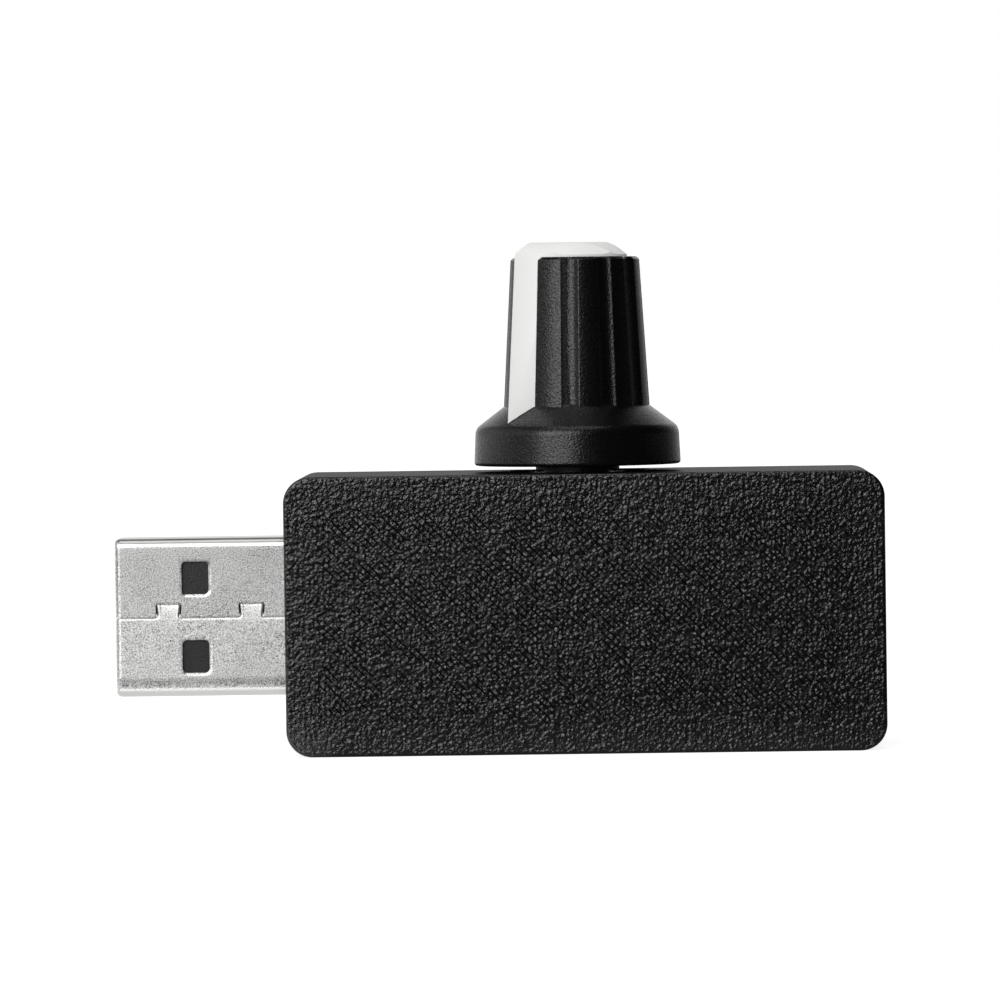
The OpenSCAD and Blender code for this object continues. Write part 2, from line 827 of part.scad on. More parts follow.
// Bushing staked in the frame, with a lip under it
module pot_bushing() {
  color("#8f8e8a") on_axis(0) difference() {
    union() {
      translate([0, 0, housing_top]) cylinder(d = bushing_d, h = bushing_top - housing_top);
      translate([0, 0, housing_top - bushing_lip_h]) cylinder(d = bushing_lip_d, h = bushing_lip_h);
    }
    translate([0, 0, housing_top - bushing_lip_h - cut])
      cylinder(r = neck_d / 2 + shaft_fit, h = bushing_top);
  }
}

// Plastic housing round the rotor
module pot_housing() {
  w = pot_w - frame_t - 2 * carrier_fit;
  color("#26262a") difference() {
    pot_plate(w, wafer_top, housing_top);
    on_axis(wafer_top - cut) cylinder(d = housing_bore, h = housing_h + 2 * cut);
  }
}

// Wafer that carries the resistance track and closes the housing
module pot_wafer() {
  w = pot_w - frame_t - 2 * carrier_fit;
  color("#8a5a2c") pot_plate(w, wafer_low, wafer_top);
}

// Resistance track, open at the rear, and the collector ring inside it
module pot_track() {
  color("#1b1b1b") on_axis(wafer_top) {
    rotate(270 - pot_travel / 2) rotate_extrude(angle = pot_travel)
      translate([track_r - track_w / 2, 0]) square([track_w, track_t]);
    difference() {
      cylinder(r = ring_r + ring_w / 2, h = track_t);
      translate([0, 0, -cut]) cylinder(r = ring_r - ring_w / 2, h = track_t + 2 * cut);
    }
  }
}

// Three terminals from under the wafer, flat on the board
module pot_terminals() {
  color("#c9c6bd") for (i = [-1 : 1]) translate([pot_x + i * pin_pitch - terminal_w / 2, board_rear, 0]) {
    translate([0, 0, terminal_low]) cube([terminal_w, terminal_t, terminal_l]);
    translate([0, 0, wafer_low - terminal_t]) cube([terminal_w, terminal_foot, terminal_t]);
  }
}

// Stepped shaft with a flat for the knob
module pot_shaft() {
  color("#3a3a3c") on_axis(0) {
    translate([0, 0, neck_low]) cylinder(d = neck_d, h = shoulder_z - neck_low);
    difference() {
      translate([0, 0, shoulder_z]) cylinder(d = shaft_d, h = shaft_len);
      shaft_flat_cut(0);
    }
  }
}

// What the flat takes off the shaft, on the pointer's far side
module shaft_flat_cut(fit) {
  rotate(pointer_dir + 180) translate([shaft_flat + fit, -shaft_d, flat_z])
    cube([shaft_d, 2 * shaft_d, shaft_len + cut]);
}

// Plastic rotor on the shaft's foot
module pot_rotor() {
  color("#d9d4c6") on_axis(rotor_z) difference() {
    cylinder(d = rotor_d, h = rotor_h);
    translate([0, 0, -cut]) cylinder(r = neck_d / 2 + carrier_fit / 2, h = rotor_h + 2 * cut);
  }
}

// Spring wiper under the rotor that bridges the track and the ring
module pot_wiper() {
  arm = track_r + track_w / 4;
  color("#d8b45a") on_axis(0) rotate(pointer_dir) {
    translate([ring_r - ring_w / 2, -terminal_w, wiper_z])
      cube([arm - ring_r + ring_w / 2, 2 * terminal_w, wiper_t]);
    translate([ring_r - ring_w / 2, -terminal_w, wiper_z])
      cube([wiper_t, 2 * terminal_w, rotor_z - wiper_z]);
    translate([ring_r - ring_w / 2, -terminal_w, rotor_z - wiper_t])
      cube([arm - ring_r + ring_w / 2, 2 * terminal_w, wiper_t]);
  }
}

// Knob

// Outline of the flange and the shoulder from the axis outwards, with the slope raised by a gap
// and carried on inwards to a radius
module shoulder_profile(gap, inner_r, inner_z) {
  side_normal = [cos(side_angle), sin(side_angle)];
  edge_mid = [flange_r - flange_edge_r * (1 + side_normal[1]) / side_normal[0], flange_edge_r];
  polygon([
    [0, 0], [edge_mid[0], 0], edge_mid + flange_edge_r * side_normal, side_end, slope_start + [0, gap],
    [inner_r, inner_z + gap], [0, inner_z + gap]
  ]);
  translate(edge_mid) circle(flange_edge_r);
  translate(side_end + [0, gap] - shoulder_r * side_normal) circle(shoulder_r);
}

// Outline of the whole sleeve from the axis outwards
module sleeve_profile() {
  shoulder_profile(0, body_r, shoulder_h);
  polygon([
    [0, 0], [body_r, 0], [body_r, shoulder_h],
    [top_r + rim_chamfer * tan(draft_angle), sleeve_h - rim_chamfer], [top_r - rim_chamfer, sleeve_h],
    [0, sleeve_h]
  ]);
}

// Round cuts up the body that end on the shoulder's slope
module flutes() {
  difference() {
    for (i = [0 : flute_count - 1]) rotate(pointer_dir + flute_first + i * flute_step)
      translate([body_r + flute_r - flute_depth, 0, shoulder_h]) rotate([0, -draft_angle, 0])
        translate([0, 0, -cut]) cylinder(r = flute_r, h = sleeve_h);
    rotate_extrude() shoulder_profile(0, slope_inner, slope_top);
  }
}

// How much the pointer draws in between two heights, with the body's draft
function pointer_shrink(z0, z1) = 1 - (1 - draft_scale) * (z1 - z0) / (sleeve_h - shoulder_h);

// Pointer's wedge from its foot up
module pointer_wedge(z0, z1, fit) {
  edge = pointer_r + fit / sin(pointer_half);
  half_w = (edge - pointer_back) * tan(pointer_half);
  rotate(pointer_dir) translate([0, 0, z0]) linear_extrude(z1 - z0, scale = pointer_shrink(z0, z1))
    polygon([[edge, 0], [pointer_back, half_w], [pointer_back, -half_w]]);
}

// What rounds the pointer's two top edges off
module pointer_edge_cut() {
  r = pointer_edge_r;
  rotate(pointer_dir) for (side = [0, 1]) mirror([0, side, 0])
    translate([pointer_r * pointer_shrink(pointer_foot, core_top), 0, core_top - r])
      rotate(180 - pointer_half) difference() {
        translate([-r, -r, 0]) cube([pointer_r + r, 2 * r, 2 * r]);
        translate([-2 * r, r, 0]) rotate([0, 90, 0]) cylinder(r = r, h = pointer_r + 3 * r);
      }
}

// Fluted sleeve with the flange, hollow below and open for the core
module knob_sleeve() {
  color("#1d1d1f") on_axis(knob_z) difference() {
    rotate_extrude() sleeve_profile();
    flutes();
    translate([0, 0, -cut]) cylinder(r = flange_r - rim_t, h = hollow_h + cut);
    translate([0, 0, -cut]) cylinder(r = core_r + core_fit, h = sleeve_h + 2 * cut);
    difference() {
      pointer_wedge(pointer_foot, sleeve_h + cut, core_fit);
      rotate_extrude() shoulder_profile(0, body_r, shoulder_h);
    }
  }
}

// White core: the hub on the shaft, its rounded cap and the pointer
module knob_core() {
  color("#f2f2f0") on_axis(knob_z) difference() {
    union() {
      rotate_extrude() {
        translate([0, core_foot]) square([core_r, core_top - core_edge_r - core_foot]);
        translate([0, core_foot]) square([core_r - core_edge_r, core_top - core_foot]);
        translate([core_r - core_edge_r, core_top - core_edge_r]) circle(core_edge_r);
      }
      difference() {
        pointer_wedge(pointer_foot, core_top, 0);
        rotate_extrude() shoulder_profile(core_fit, body_r, shoulder_h);
        pointer_edge_cut();
      }
    }
    difference() {
      translate([0, 0, -cut]) cylinder(r = bore_r, h = shaft_top - knob_z + cut + core_fit);
      translate([0, 0, -knob_z]) shaft_flat_cut(shaft_fit / 2);
    }
  }
}

// Parts on the board

// Puts its children on the board, with their own Z pointing to the rear
module on_board(x, z) {
  translate([x, board_rear, z]) rotate([-90, 0, 0]) children();
}

// Chip with four bent leads on each long side
module control_chip() {
  color("#202022") on_board(bay_x, mid_z + chip_rise) {
    bend_y = (chip_w + chip_lead) / 2 - chip_lead_t;
    translate([-chip_l / 2, -chip_w / 2, chip_stand]) cube([chip_l, chip_w, chip_h]);
    for (side = [-1, 1], i = [-1.5 : 1.5]) mirror([0, side < 0 ? 1 : 0, 0])
      translate([i * chip_pitch - chip_lead_w / 2, 0, 0]) {
        translate([0, chip_w / 2, chip_lead_z]) cube([chip_lead_w, chip_lead / 2, chip_lead_t]);
        translate([0, bend_y, 0]) cube([chip_lead_w, chip_lead_t, chip_lead_z + chip_lead_t]);
        translate([0, bend_y, 0]) cube([chip_lead_w, chip_lead / 2 + chip_lead_t, chip_lead_t]);
      }
  }
}

// Switching transistor with its tab and three leads
module power_transistor() {
  color("#202022") on_board(pot_x, board_low + transistor_edge) {
    lead_size = [transistor_lead_w, transistor_lead_l + transistor_sink, transistor_lead_t];
    translate([-transistor_l / 2, -transistor_w / 2, 0]) cube([transistor_l, transistor_w, transistor_h]);
    translate([-transistor_tab_w / 2, -transistor_w / 2 - transistor_lead_l, 0])
      cube([transistor_tab_w, lead_size[1], transistor_lead_t]);
    for (i = [-1 : 1])
      translate([i * transistor_pitch - transistor_lead_w / 2, transistor_w / 2 - transistor_sink, 0])
        cube(lead_size);
  }
}

// Diode across the fan's supply, with a strap at each end
module flyback_diode() {
  color("#202022") on_board(bay_x, board_top - diode_w / 2 - diode_edge) {
    translate([-diode_l / 2, -diode_w / 2, diode_stand]) cube([diode_l, diode_w, diode_h]);
    for (side = [-1, 1]) mirror([side < 0 ? 1 : 0, 0, 0]) translate([diode_l / 2, -strap_w / 2, 0]) {
      cube([strap_t, strap_w, strap_h]);
      translate([-strap_foot, 0, 0]) cube([strap_foot + strap_t, strap_w, strap_t]);
    }
  }
}

// Electrolytic can on its plastic base, with the rolled groove near the foot
module filter_capacitor() {
  color("#c9c9cc") on_board(bay_x, board_low + can_base / 2 + can_edge) difference() {
    union() {
      translate([-can_base / 2, -can_base / 2, 0]) cube([can_base, can_base, can_base_h]);
      cylinder(d = can_d, h = can_h);
    }
    translate([0, 0, can_base_h + 2 * can_groove_r]) rotate_extrude()
      translate([can_d / 2 + can_groove_out, 0]) circle(can_groove_r);
  }
}

// Small chip part with a metal cap at each end
module small_part() {
  translate([-small_l / 2 + small_cap, -small_w / 2, small_step])
    cube([small_l - 2 * small_cap, small_w, small_h - 2 * small_step]);
  for (x = [-small_l / 2, small_l / 2 - small_cap]) translate([x, -small_w / 2, 0])
    cube([small_cap, small_w, small_h]);
}

// Two smoothing capacitors beside the transistor
module ceramic_capacitors() {
  color("#b59a6a") for (side = [-1, 1])
    on_board(pot_x + side * (transistor_l / 2 + small_w), board_low + smoothing_edge) rotate(90) small_part();
}

// Three resistors in a row between the potentiometer and the socket
module resistors() {
  color("#26262a") for (i = [-1 : 1])
    on_board(post_right, mid_z - resistor_drop + i * small_pitch) small_part();
}

front_shell();
rear_cover();
circuit_board();
usb_plug_shell();
usb_plug_carrier();
usb_plug_contacts();
usb_socket_shell();
usb_socket_carrier();
usb_socket_contacts();
pot_frame();
pot_bushing();
pot_housing();
pot_wafer();
pot_track();
pot_terminals();
pot_shaft();
pot_rotor();
pot_wiper();
knob_sleeve();
knob_core();
control_chip();
power_transistor();
flyback_diode();
filter_capacitor();
ceramic_capacitors();
resistors();
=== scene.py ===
"""Looks of a usb fan speed controller: a printed case, stamped connectors and a fluted two-colour knob.

Sizes in the classes are millimetres. MM turns them into metres where Blender takes them.
"""

import logging
import math
from dataclasses import dataclass, replace
from enum import Enum
from typing import Any, Callable, Dict, List, Optional, Sequence, Tuple, Union

import bmesh
import bpy
import numpy as np
from mathutils import Matrix, Vector


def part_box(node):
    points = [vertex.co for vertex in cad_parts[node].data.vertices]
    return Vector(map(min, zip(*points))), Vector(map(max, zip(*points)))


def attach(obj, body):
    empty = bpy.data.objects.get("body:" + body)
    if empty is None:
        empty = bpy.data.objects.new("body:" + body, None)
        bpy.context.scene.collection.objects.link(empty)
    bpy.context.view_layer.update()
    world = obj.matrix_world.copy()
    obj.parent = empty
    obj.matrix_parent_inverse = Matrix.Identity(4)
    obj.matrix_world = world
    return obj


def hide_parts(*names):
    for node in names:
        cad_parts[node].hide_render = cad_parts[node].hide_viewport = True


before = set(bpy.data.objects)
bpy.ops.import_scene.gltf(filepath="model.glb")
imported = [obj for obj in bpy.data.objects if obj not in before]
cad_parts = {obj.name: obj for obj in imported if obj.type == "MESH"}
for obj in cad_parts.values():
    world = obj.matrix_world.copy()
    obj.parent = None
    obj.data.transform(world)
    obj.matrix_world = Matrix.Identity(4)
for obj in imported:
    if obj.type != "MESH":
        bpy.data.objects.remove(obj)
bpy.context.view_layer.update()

MM = 0.001
PER_MM = 1000.0
QUARTER = math.pi / 2
WHITE = (1.0, 1.0, 1.0, 1.0)
# Gap between a finished surface and the solid that it is cut from, on flat and on round walls
FLAT_SKIN = 0.002
ROUND_SKIN = 0.014
# Points of a solid that are closer than this, in metres, are joined
SAME_POINT = 1e-7
# Faces of a solid that turn by less than this, in degrees, are joined
SAME_FACE = 0.6
# Edges of a solid that turn by more than this, in degrees, are rounded
BEVEL_ANGLE = 30.0
# Room for rounding in comparisons and divisions
TINY = 1e-9

log = logging.getLogger("speed_controller")

Colour = Tuple[float, float, float]
Pair = Tuple[float, float]
Entry = Union["Value", float, int, bool, str, Sequence[float], bpy.types.ID]
Inputs = Dict[Union[int, str], Entry]


class Body(Enum):
    """The bodies that pieces ride on."""

    CASE = "case"
    KNOB = "knob"


class Side(Enum):
    """The case's two printed faces, by the sign of the direction they look in."""

    FRONT = -1.0
    REAR = 1.0


def math_method(operation: str, reflected: bool = False) -> Callable[["Value", Entry], "Value"]:
    """Makes the method behind one of Value's operators.

    Args:
        operation: The operation of the Math node that it adds.
        reflected: Whether the other entry stands in front.

    Returns:
        The method.
    """
    def method(value: "Value", other: Entry) -> "Value":
        """Adds the Math node on both entries."""
        return value.canvas.maths(operation, *((other, value) if reflected else (value, other)))
    return method


class Value:
    """A node's output socket that takes part in Python expressions; a comparison gives one or nought."""

    def __init__(self, canvas: "Canvas", socket: Optional[bpy.types.NodeSocket]) -> None:
        """Keeps the socket and the canvas that its node is on."""
        self.canvas = canvas
        self.socket = socket

    __add__ = math_method("ADD")
    __radd__ = math_method("ADD", reflected=True)
    __sub__ = math_method("SUBTRACT")
    __rsub__ = math_method("SUBTRACT", reflected=True)
    __mul__ = math_method("MULTIPLY")
    __rmul__ = math_method("MULTIPLY", reflected=True)
    __truediv__ = math_method("DIVIDE")
    __rtruediv__ = math_method("DIVIDE", reflected=True)
    __gt__ = math_method("GREATER_THAN")
    __lt__ = math_method("LESS_THAN")

    def __abs__(self) -> "Value":
        """Size without sign."""
        return self.maths("ABSOLUTE")

    def maths(self, operation: str, *others: Entry) -> "Value":
        """The result of a Math node on this value and others."""
        return self.canvas.maths(operation, self, *others)

    def step(self, low: Entry, high: Entry) -> "Value":
        """A soft step from nought at low to one at high."""
        entries = {"Value": self, "From Min": low, "From Max": high}
        return self.canvas.node("ShaderNodeMapRange", entries, interpolation_type="SMOOTHSTEP")

    def output(self, name: str) -> "Value":
        """Another output of the same node."""
        return Value(self.canvas, self.socket.node.outputs[name])


class Canvas:
    """A node tree that nodes are added to."""

    def __init__(self, tree: bpy.types.NodeTree) -> None:
        """Keeps the tree."""
        self.tree = tree

    @staticmethod
    def blank(owner: Union[bpy.types.Material, bpy.types.World]) -> "Canvas":
        """Empties a shader tree.

        Args:
            owner: The material or the world that has it.

        Returns:
            The empty tree.
        """
        owner.use_nodes = True
        owner.node_tree.nodes.clear()
        return Canvas(owner.node_tree)

    @staticmethod
    def _socket(node: bpy.types.Node, key: Union[int, str]) -> bpy.types.NodeSocket:
        """Finds an input of a node.

        Args:
            node: The node.
            key: The input's number, or the identifier or name of an enabled one.

        Returns:
            The input.
        """
        if isinstance(key, int):
            return node.inputs[key]
        enabled = [socket for socket in node.inputs if socket.enabled]
        return next(socket for socket in enabled if key in (socket.identifier, socket.name))

    def node(self, kind: str, inputs: Optional[Inputs] = None, **settings: Any) -> Value:
        """Adds one node.

        Args:
            kind: The node's type.
            inputs: Values or links of its sockets.
            settings: Properties, such as a Math node's operation, which are set first.

        Returns:
            The node's first output.
        """
        made = self.tree.nodes.new(kind)
        for name, choice in settings.items():
            setattr(made, name, choice)
        for key, entry in (inputs or {}).items():
            socket = self._socket(made, key)
            if isinstance(entry, Value):
                self.tree.links.new(entry.socket, socket)
            else:
                socket.default_value = entry
        outputs = [socket for socket in made.outputs if socket.enabled]
        return Value(self, outputs[0] if outputs else None)

    def maths(self, operation: str, *entries: Entry) -> Value:
        """The result of a Math node on these entries."""
        return self.node("ShaderNodeMath", dict(enumerate(entries)), operation=operation)

    def vector(self, operation: str, *entries: Entry) -> Value:
        """The result of a Vector Math node on these entries."""
        return self.node("ShaderNodeVectorMath", dict(enumerate(entries)), operation=operation)

    def scaled(self, vector: Entry, factor: Entry) -> Value:
        """A vector or a colour times one number."""
        return self.node("ShaderNodeVectorMath", {0: vector, "Scale": factor}, operation="SCALE")

    def axes(self, vector: Value) -> Tuple[Value, Value, Value]:
        """The X, Y and Z of a vector."""
        parts = self.node("ShaderNodeSeparateXYZ", {0: vector})
        return parts, parts.output("Y"), parts.output("Z")

    def joined(self, x: Entry, y: Entry, z: Entry) -> Value:
        """A vector of three values."""
        return self.node("ShaderNodeCombineXYZ", {0: x, 1: y, 2: z})

    def noise(self, place: Value, scale: float, detail: float = 2.0, roughness: float = 0.5) -> Value:
        """Smooth noise between nought and one, with scale in grains per unit of the place."""
        return self.node("ShaderNodeTexNoise", {"Vector": place, "Scale": scale, "Detail": detail,
                                                "Roughness": roughness})

    def bump(self, height: Value) -> Value:
        """A normal that follows a height in millimetres."""
        return self.node("ShaderNodeBump", {"Strength": 1.0, "Distance": MM, "Height": height})

    def principled(self, inputs: Inputs) -> Value:
        """The one shader of a solid finish."""
        return self.node("ShaderNodeBsdfPrincipled", inputs)

    def place(self) -> Value:
        """A point of the piece in millimetres, from its Object coordinates."""
        return self.scaled(self.node("ShaderNodeTexCoord").output("Object"), PER_MM)


@dataclass(frozen=True)
class Finish:
    """What every finish has: its name, its slot in the record and its plain values."""

    name: str
    slot: str
    colour: Colour
    roughness: float

    def material(self) -> bpy.types.Material:
        """The finish's material, made on its first use.

        Returns:
            The material.
        """
        known = bpy.data.materials.get(self.name)
        if known:
            return known
        made = bpy.data.materials.new(self.name)
        canvas = Canvas.blank(made)
        canvas.node("ShaderNodeOutputMaterial", {"Surface": self.surface(canvas, canvas.place())})
        return made

    def surface(self, canvas: Canvas, place: Value) -> Value:
        """Makes the finish's shader; each finish has its own.

        Args:
            canvas: The material's tree.
            place: A point of the piece in millimetres.

        Returns:
            The shader.
        """
        raise NotImplementedError


@dataclass(frozen=True)
class Pebbles:
    """Grain that a textured bed leaves on the layer printed on it: flat-topped pebbles, pits and domes.

    The mesh carries soft lumps. The finish's bump carries the pebbles and the domes.
    """

    lump: float = 0.5
    lump_depth: float = 0.02
    least_lump: float = 0.45
    sizes: Pair = (0.38, 0.26)
    heights: Pair = (0.02, 0.008)
    least_dome: float = 0.4
    pits_above: float = 0.7
    reach: float = 0.46
    reach_spread: float = 0.6
    warp: float = 0.22
    warp_grain: float = 1.3

    def cells(self, canvas: Canvas, place: Value, size: float) -> Tuple[Value, Value]:
        """Pebbles of one size; a point's depth into the face doesn't count.

        Args:
            canvas: The tree that the nodes go in.
            place: A point in millimetres.
            size: The pebbles' pitch.

        Returns:
            A point's share of the way to its pebble's rim, squared and at most one, and a number for
            each pebble.
        """
        x, _, z = canvas.axes(place)
        flat = canvas.joined(x, z, 0.0)
        drift = canvas.noise(flat, self.warp_grain / size, 1.0).output("Color")
        shift = canvas.scaled(canvas.vector("SUBTRACT", drift, (0.5,) * 3), self.warp * size * 2)
        warped = {"Vector": canvas.vector("ADD", flat, shift), "Scale": 1.0 / size}
        cell = canvas.node("ShaderNodeTexVoronoi", warped, voronoi_dimensions="2D")
        chance, _, _ = canvas.axes(cell.output("Color"))
        share = cell / (self.reach * (self.reach_spread + chance * self.reach_spread))
        return (share * share).maths("MINIMUM", 1.0), chance

    def soft_height(self, canvas: Canvas, place: Value) -> Value:
        """The lumps, from nought to one."""
        share, chance = self.cells(canvas, place, self.lump)
        return (1.0 - share) * (self.least_lump + chance * (1.0 - self.least_lump))

    def height(self, canvas: Canvas, place: Value) -> Value:
        """The pebbles, the pits and the domes.

        Args:
            canvas: The tree that the nodes go in.
            place: A point in millimetres.

        Returns:
            The height in millimetres.
        """
        (large, small), (high, low) = self.sizes, self.heights
        share, chance = self.cells(canvas, place, large)
        flat_topped = (1.0 - share * share) * (1.0 - (chance > self.pits_above) * 2.0) * high
        share, chance = self.cells(canvas, place, small)
        return flat_topped + (1.0 - share) * (self.least_dome + chance * (1.0 - self.least_dome)) * low


PEBBLES = Pebbles()


@dataclass(frozen=True)
class PebbledFace(Finish):
    """The printed face that lay on the textured bed: pebbles over diagonal beads, with painted shade in the
    gaps between them.
    """

    bead_pitch: float = 0.41
    bead_wander: float = 0.15
    wander_grain: float = 0.7
    gap_edge: Pair = (0.58, 0.8)
    patch_edge: Pair = (0.37, 0.55)
    patch_grain: float = 0.9
    beads_half: Pair = (20.4, 8.4)
    beads_border: Pair = (-1.4, 1.4)
    mid_z: float = 10.5
    # Painted shade in the gaps between the beads: its colour and how much of it shows
    gap_shade_colour: Colour = (0.001, 0.001, 0.001)
    gap_shade_weight: float = 1.0
    # How strongly the pebbles' heights are painted into the tone as light and shade
    height_shading_weight: float = 9.0
    fine_grain: float = 5.3
    fine_depth: float = 0.026
    fine_tone: float = 0.4
    fine_sheen: float = 0.08
    specular: float = 0.76

    def gaps(self, canvas: Canvas, place: Value) -> Value:
        """Where the gaps between the beads get painted shade: patchy and only inside the outline's own
        beads.

        Args:
            canvas: The material's tree.
            place: A point of the piece in millimetres.

        Returns:
            One in a gap, otherwise nought.
        """
        x, _, z = canvas.axes(place)
        along = (x + z) * (math.sqrt(0.5) / self.bead_pitch)
        along = along + canvas.noise(place, self.wander_grain, 1.0) * self.bead_wander
        ridge = abs(along.maths("FRACT") - 0.5) * 2.0
        half_x, half_z = self.beads_half
        inside = (half_x - abs(x)).step(*self.beads_border)
        inside = inside * (half_z - abs(z - self.mid_z)).step(*self.beads_border)
        patches = canvas.noise(place, self.patch_grain, roughness=0.6).step(*self.patch_edge)
        return ridge.step(*self.gap_edge) * patches * inside

    def surface(self, canvas: Canvas, place: Value) -> Value:
        """Pebbles and a fine grain in the bump, the pebbles' heights painted into the tone as light and
        shade, and painted shade in the gaps.
        """
        grain = PEBBLES.height(canvas, place)
        # Painted light and shade: raised pebbles get a lighter tone and pits a darker one, and the painted
        # gap shade fades on raised pebbles
        height_shading = grain * self.height_shading_weight
        fine = canvas.noise(place, self.fine_grain, 1.0)
        beads = canvas.principled({
            "Base Color": canvas.scaled(self.colour, 1.0 - self.fine_tone + height_shading + fine * self.fine_tone),
            "Roughness": self.roughness + fine * self.fine_sheen,
            "Specular IOR Level": self.specular,
            "Normal": canvas.bump(grain + fine * self.fine_depth),
        })
        # Painted shade: the gaps get a near-black shader with little reflection in place of the shade that
        # falls in them
        gap_shade = canvas.principled({
            "Base Color": (*self.gap_shade_colour, 1.0), "Roughness": 0.9, "Specular IOR Level": 0.05})
        gap = self.gaps(canvas, place) * (self.gap_shade_weight - height_shading)
        return canvas.node("ShaderNodeMixShader", {0: gap, 1: beads, 2: gap_shade})


@dataclass(frozen=True)
class LayeredWall(Finish):
    """A printed wall, with the sheen of each drawn bead a little different."""

    layer: float = 0.2
    bead_grain: float = 0.25
    row_gap: float = 7.3
    fine_grain: Pair = (2.0, 9.0)
    fine_depth: float = 0.008
    bead_tone: float = 0.5
    bead_sheen: float = 0.16
    specular: float = 0.4

    def surface(self, canvas: Canvas, place: Value) -> Value:
        """A tone and a sheen for each layer, and a fine grain along the beads."""
        x, y, z = canvas.axes(place)
        row = (y / self.layer).maths("FLOOR") * self.row_gap
        bead = canvas.noise(canvas.joined(x * self.bead_grain, row, z * self.bead_grain), 1.0)
        along, across = self.fine_grain
        fine = canvas.noise(canvas.joined(x * along, y * across, z * along), 1.0)
        return canvas.principled({
            "Base Color": canvas.scaled(self.colour, 1.0 + (bead - 0.5) * self.bead_tone),
            "Roughness": self.roughness + (bead - 0.5) * self.bead_sheen,
            "Specular IOR Level": self.specular,
            "Normal": canvas.bump(fine * self.fine_depth),
        })


@dataclass(frozen=True)
class Moulded(Finish):
    """Moulded plastic with the fine grain of its mould."""

    grain_size: float = 0.14
    grain_depth: float = 0.004
    mottle: float = 0.1
    specular: float = 0.5
    glint: float = 0.0
    grain_tone: float = 1.6
    cloud_tone: float = 0.8
    grain_sheen: float = 0.06
    cloud_sheen: float = 0.05
    speck_share: float = 1.3
    speck_edge: Pair = (0.42, 0.7)

    def surface(self, canvas: Canvas, place: Value) -> Value:
        """Grain in the bump, clouds in the tone and the sheen and, where wanted, glossy specks."""
        grain = canvas.noise(place, 1.0 / self.grain_size, 0.0)
        cloud = canvas.noise(place, 0.5, 3.0)
        tone = (cloud - 0.5) * self.cloud_tone + (grain - 0.5) * self.grain_tone
        inputs = {
            "Base Color": canvas.scaled(self.colour, 1.0 + tone * self.mottle),
            "Roughness": self.roughness + grain * self.grain_sheen + (cloud - 1.0) * self.cloud_sheen,
            "Specular IOR Level": self.specular,
            "Normal": canvas.bump(grain * self.grain_depth),
        }
        if self.glint > 0:
            specks = canvas.noise(place, self.speck_share / self.grain_size, 0.0).step(*self.speck_edge)
            inputs.update({"Coat Weight": specks * self.glint, "Coat Roughness": self.roughness})
        return canvas.principled(inputs)


@dataclass(frozen=True)
class Plated(Finish):
    """Metal sheet or wire with a matte plate on it."""

    grain_size: float = 0.16
    grain_depth: float = 0.003
    grain_tone: float = 0.3
    streak: float = 0.0
    flat_mid: float = 0.0
    flat_half: float = 1000.0
    burnish: float = 0.0
    flat_edge: Pair = (-0.08, 0.08)
    grain_sheen: float = 0.16
    stain_grain: float = 0.35
    stain_tone: float = 0.12
    stain_sheen: float = 0.1
    streak_grain: Pair = (0.15, 8.0)

    def surface(self, canvas: Canvas, place: Value) -> Value:
        """Salt-and-pepper grain, faint stains and, where wanted, rolling streaks and burnished bends."""
        x, y, z = canvas.axes(place)
        flat = (self.flat_half - abs(z - self.flat_mid)).step(*self.flat_edge)
        under = (self.flat_mid - self.flat_half - z).step(*self.flat_edge)
        grain = (canvas.noise(place, 1.0 / self.grain_size, 0.0) - 0.5) * flat
        stain = canvas.noise(place, self.stain_grain, 3.0) - 0.5
        along, across = self.streak_grain
        roll = canvas.noise(canvas.joined(x * along, y * across, z * across), 1.0) - 0.5
        tone = 1.0 + grain * self.grain_tone + stain * self.stain_tone + roll * self.streak
        sheen = grain * self.grain_sheen + stain * self.stain_sheen - under * self.burnish
        return canvas.principled({
            "Base Color": canvas.scaled(self.colour, tone),
            "Metallic": 1.0,
            "Roughness": self.roughness + sheen,
            "Normal": canvas.bump(grain * self.grain_depth),
        })


@dataclass(frozen=True)
class Laminated(Finish):
    """Glass or paper laminate, with its weave under the surface."""

    weave: float = 0.4
    weave_tone: float = 0.25
    weave_depth: float = 0.003
    cloud_tone: float = 0.3
    cloud_sheen: float = 0.1

    def surface(self, canvas: Canvas, place: Value) -> Value:
        """Crossed threads in the tone and faintly in the bump."""
        x, _, z = canvas.axes(place)
        turn = 2.0 * math.pi / self.weave
        threads = (x * turn).maths("SINE") * (z * turn).maths("SINE")
        cloud = canvas.noise(place, 0.8)
        tone = threads * (self.weave_tone / 2) + (cloud - 0.5) * self.cloud_tone
        return canvas.principled({
            "Base Color": canvas.scaled(self.colour, 1.0 + tone),
            "Roughness": self.roughness + cloud * self.cloud_sheen,
            "Normal": canvas.bump(threads * self.weave_depth),
        })


CASE_FACE = PebbledFace("case_pebbled_face", "case_black", (0.0013, 0.0013, 0.0014), 0.18)
# The rear face gets half as much painted shade in its gaps
CASE_REAR = replace(CASE_FACE, name="case_pebbled_rear", gap_shade_weight=0.5)
CASE_WALL = LayeredWall("case_layered_wall", "case_black", (0.006, 0.006, 0.0062), 0.5)
KNOB_BLACK = Moulded("knob_satin_black", "knob_black", (0.001, 0.001, 0.0011), 0.28,
                     grain_size=0.135, grain_depth=0.022, mottle=0.2, specular=0.4, glint=0.6)
KNOB_WHITE = Moulded("knob_satin_white", "knob_white", (0.8, 0.8, 0.79), 0.42, 0.3, 0.002, 0.015)
NICKEL = Plated("matte_nickel", "nickel_shell", (0.74, 0.735, 0.725), 0.31,
                grain_size=0.09, grain_depth=0.008, grain_tone=1.7, flat_mid=10.4, flat_half=5.42,
                burnish=0.09)
SHAFT_DARK = Moulded("shaft_black", "shaft_dark", (0.02, 0.02, 0.021), 0.45)
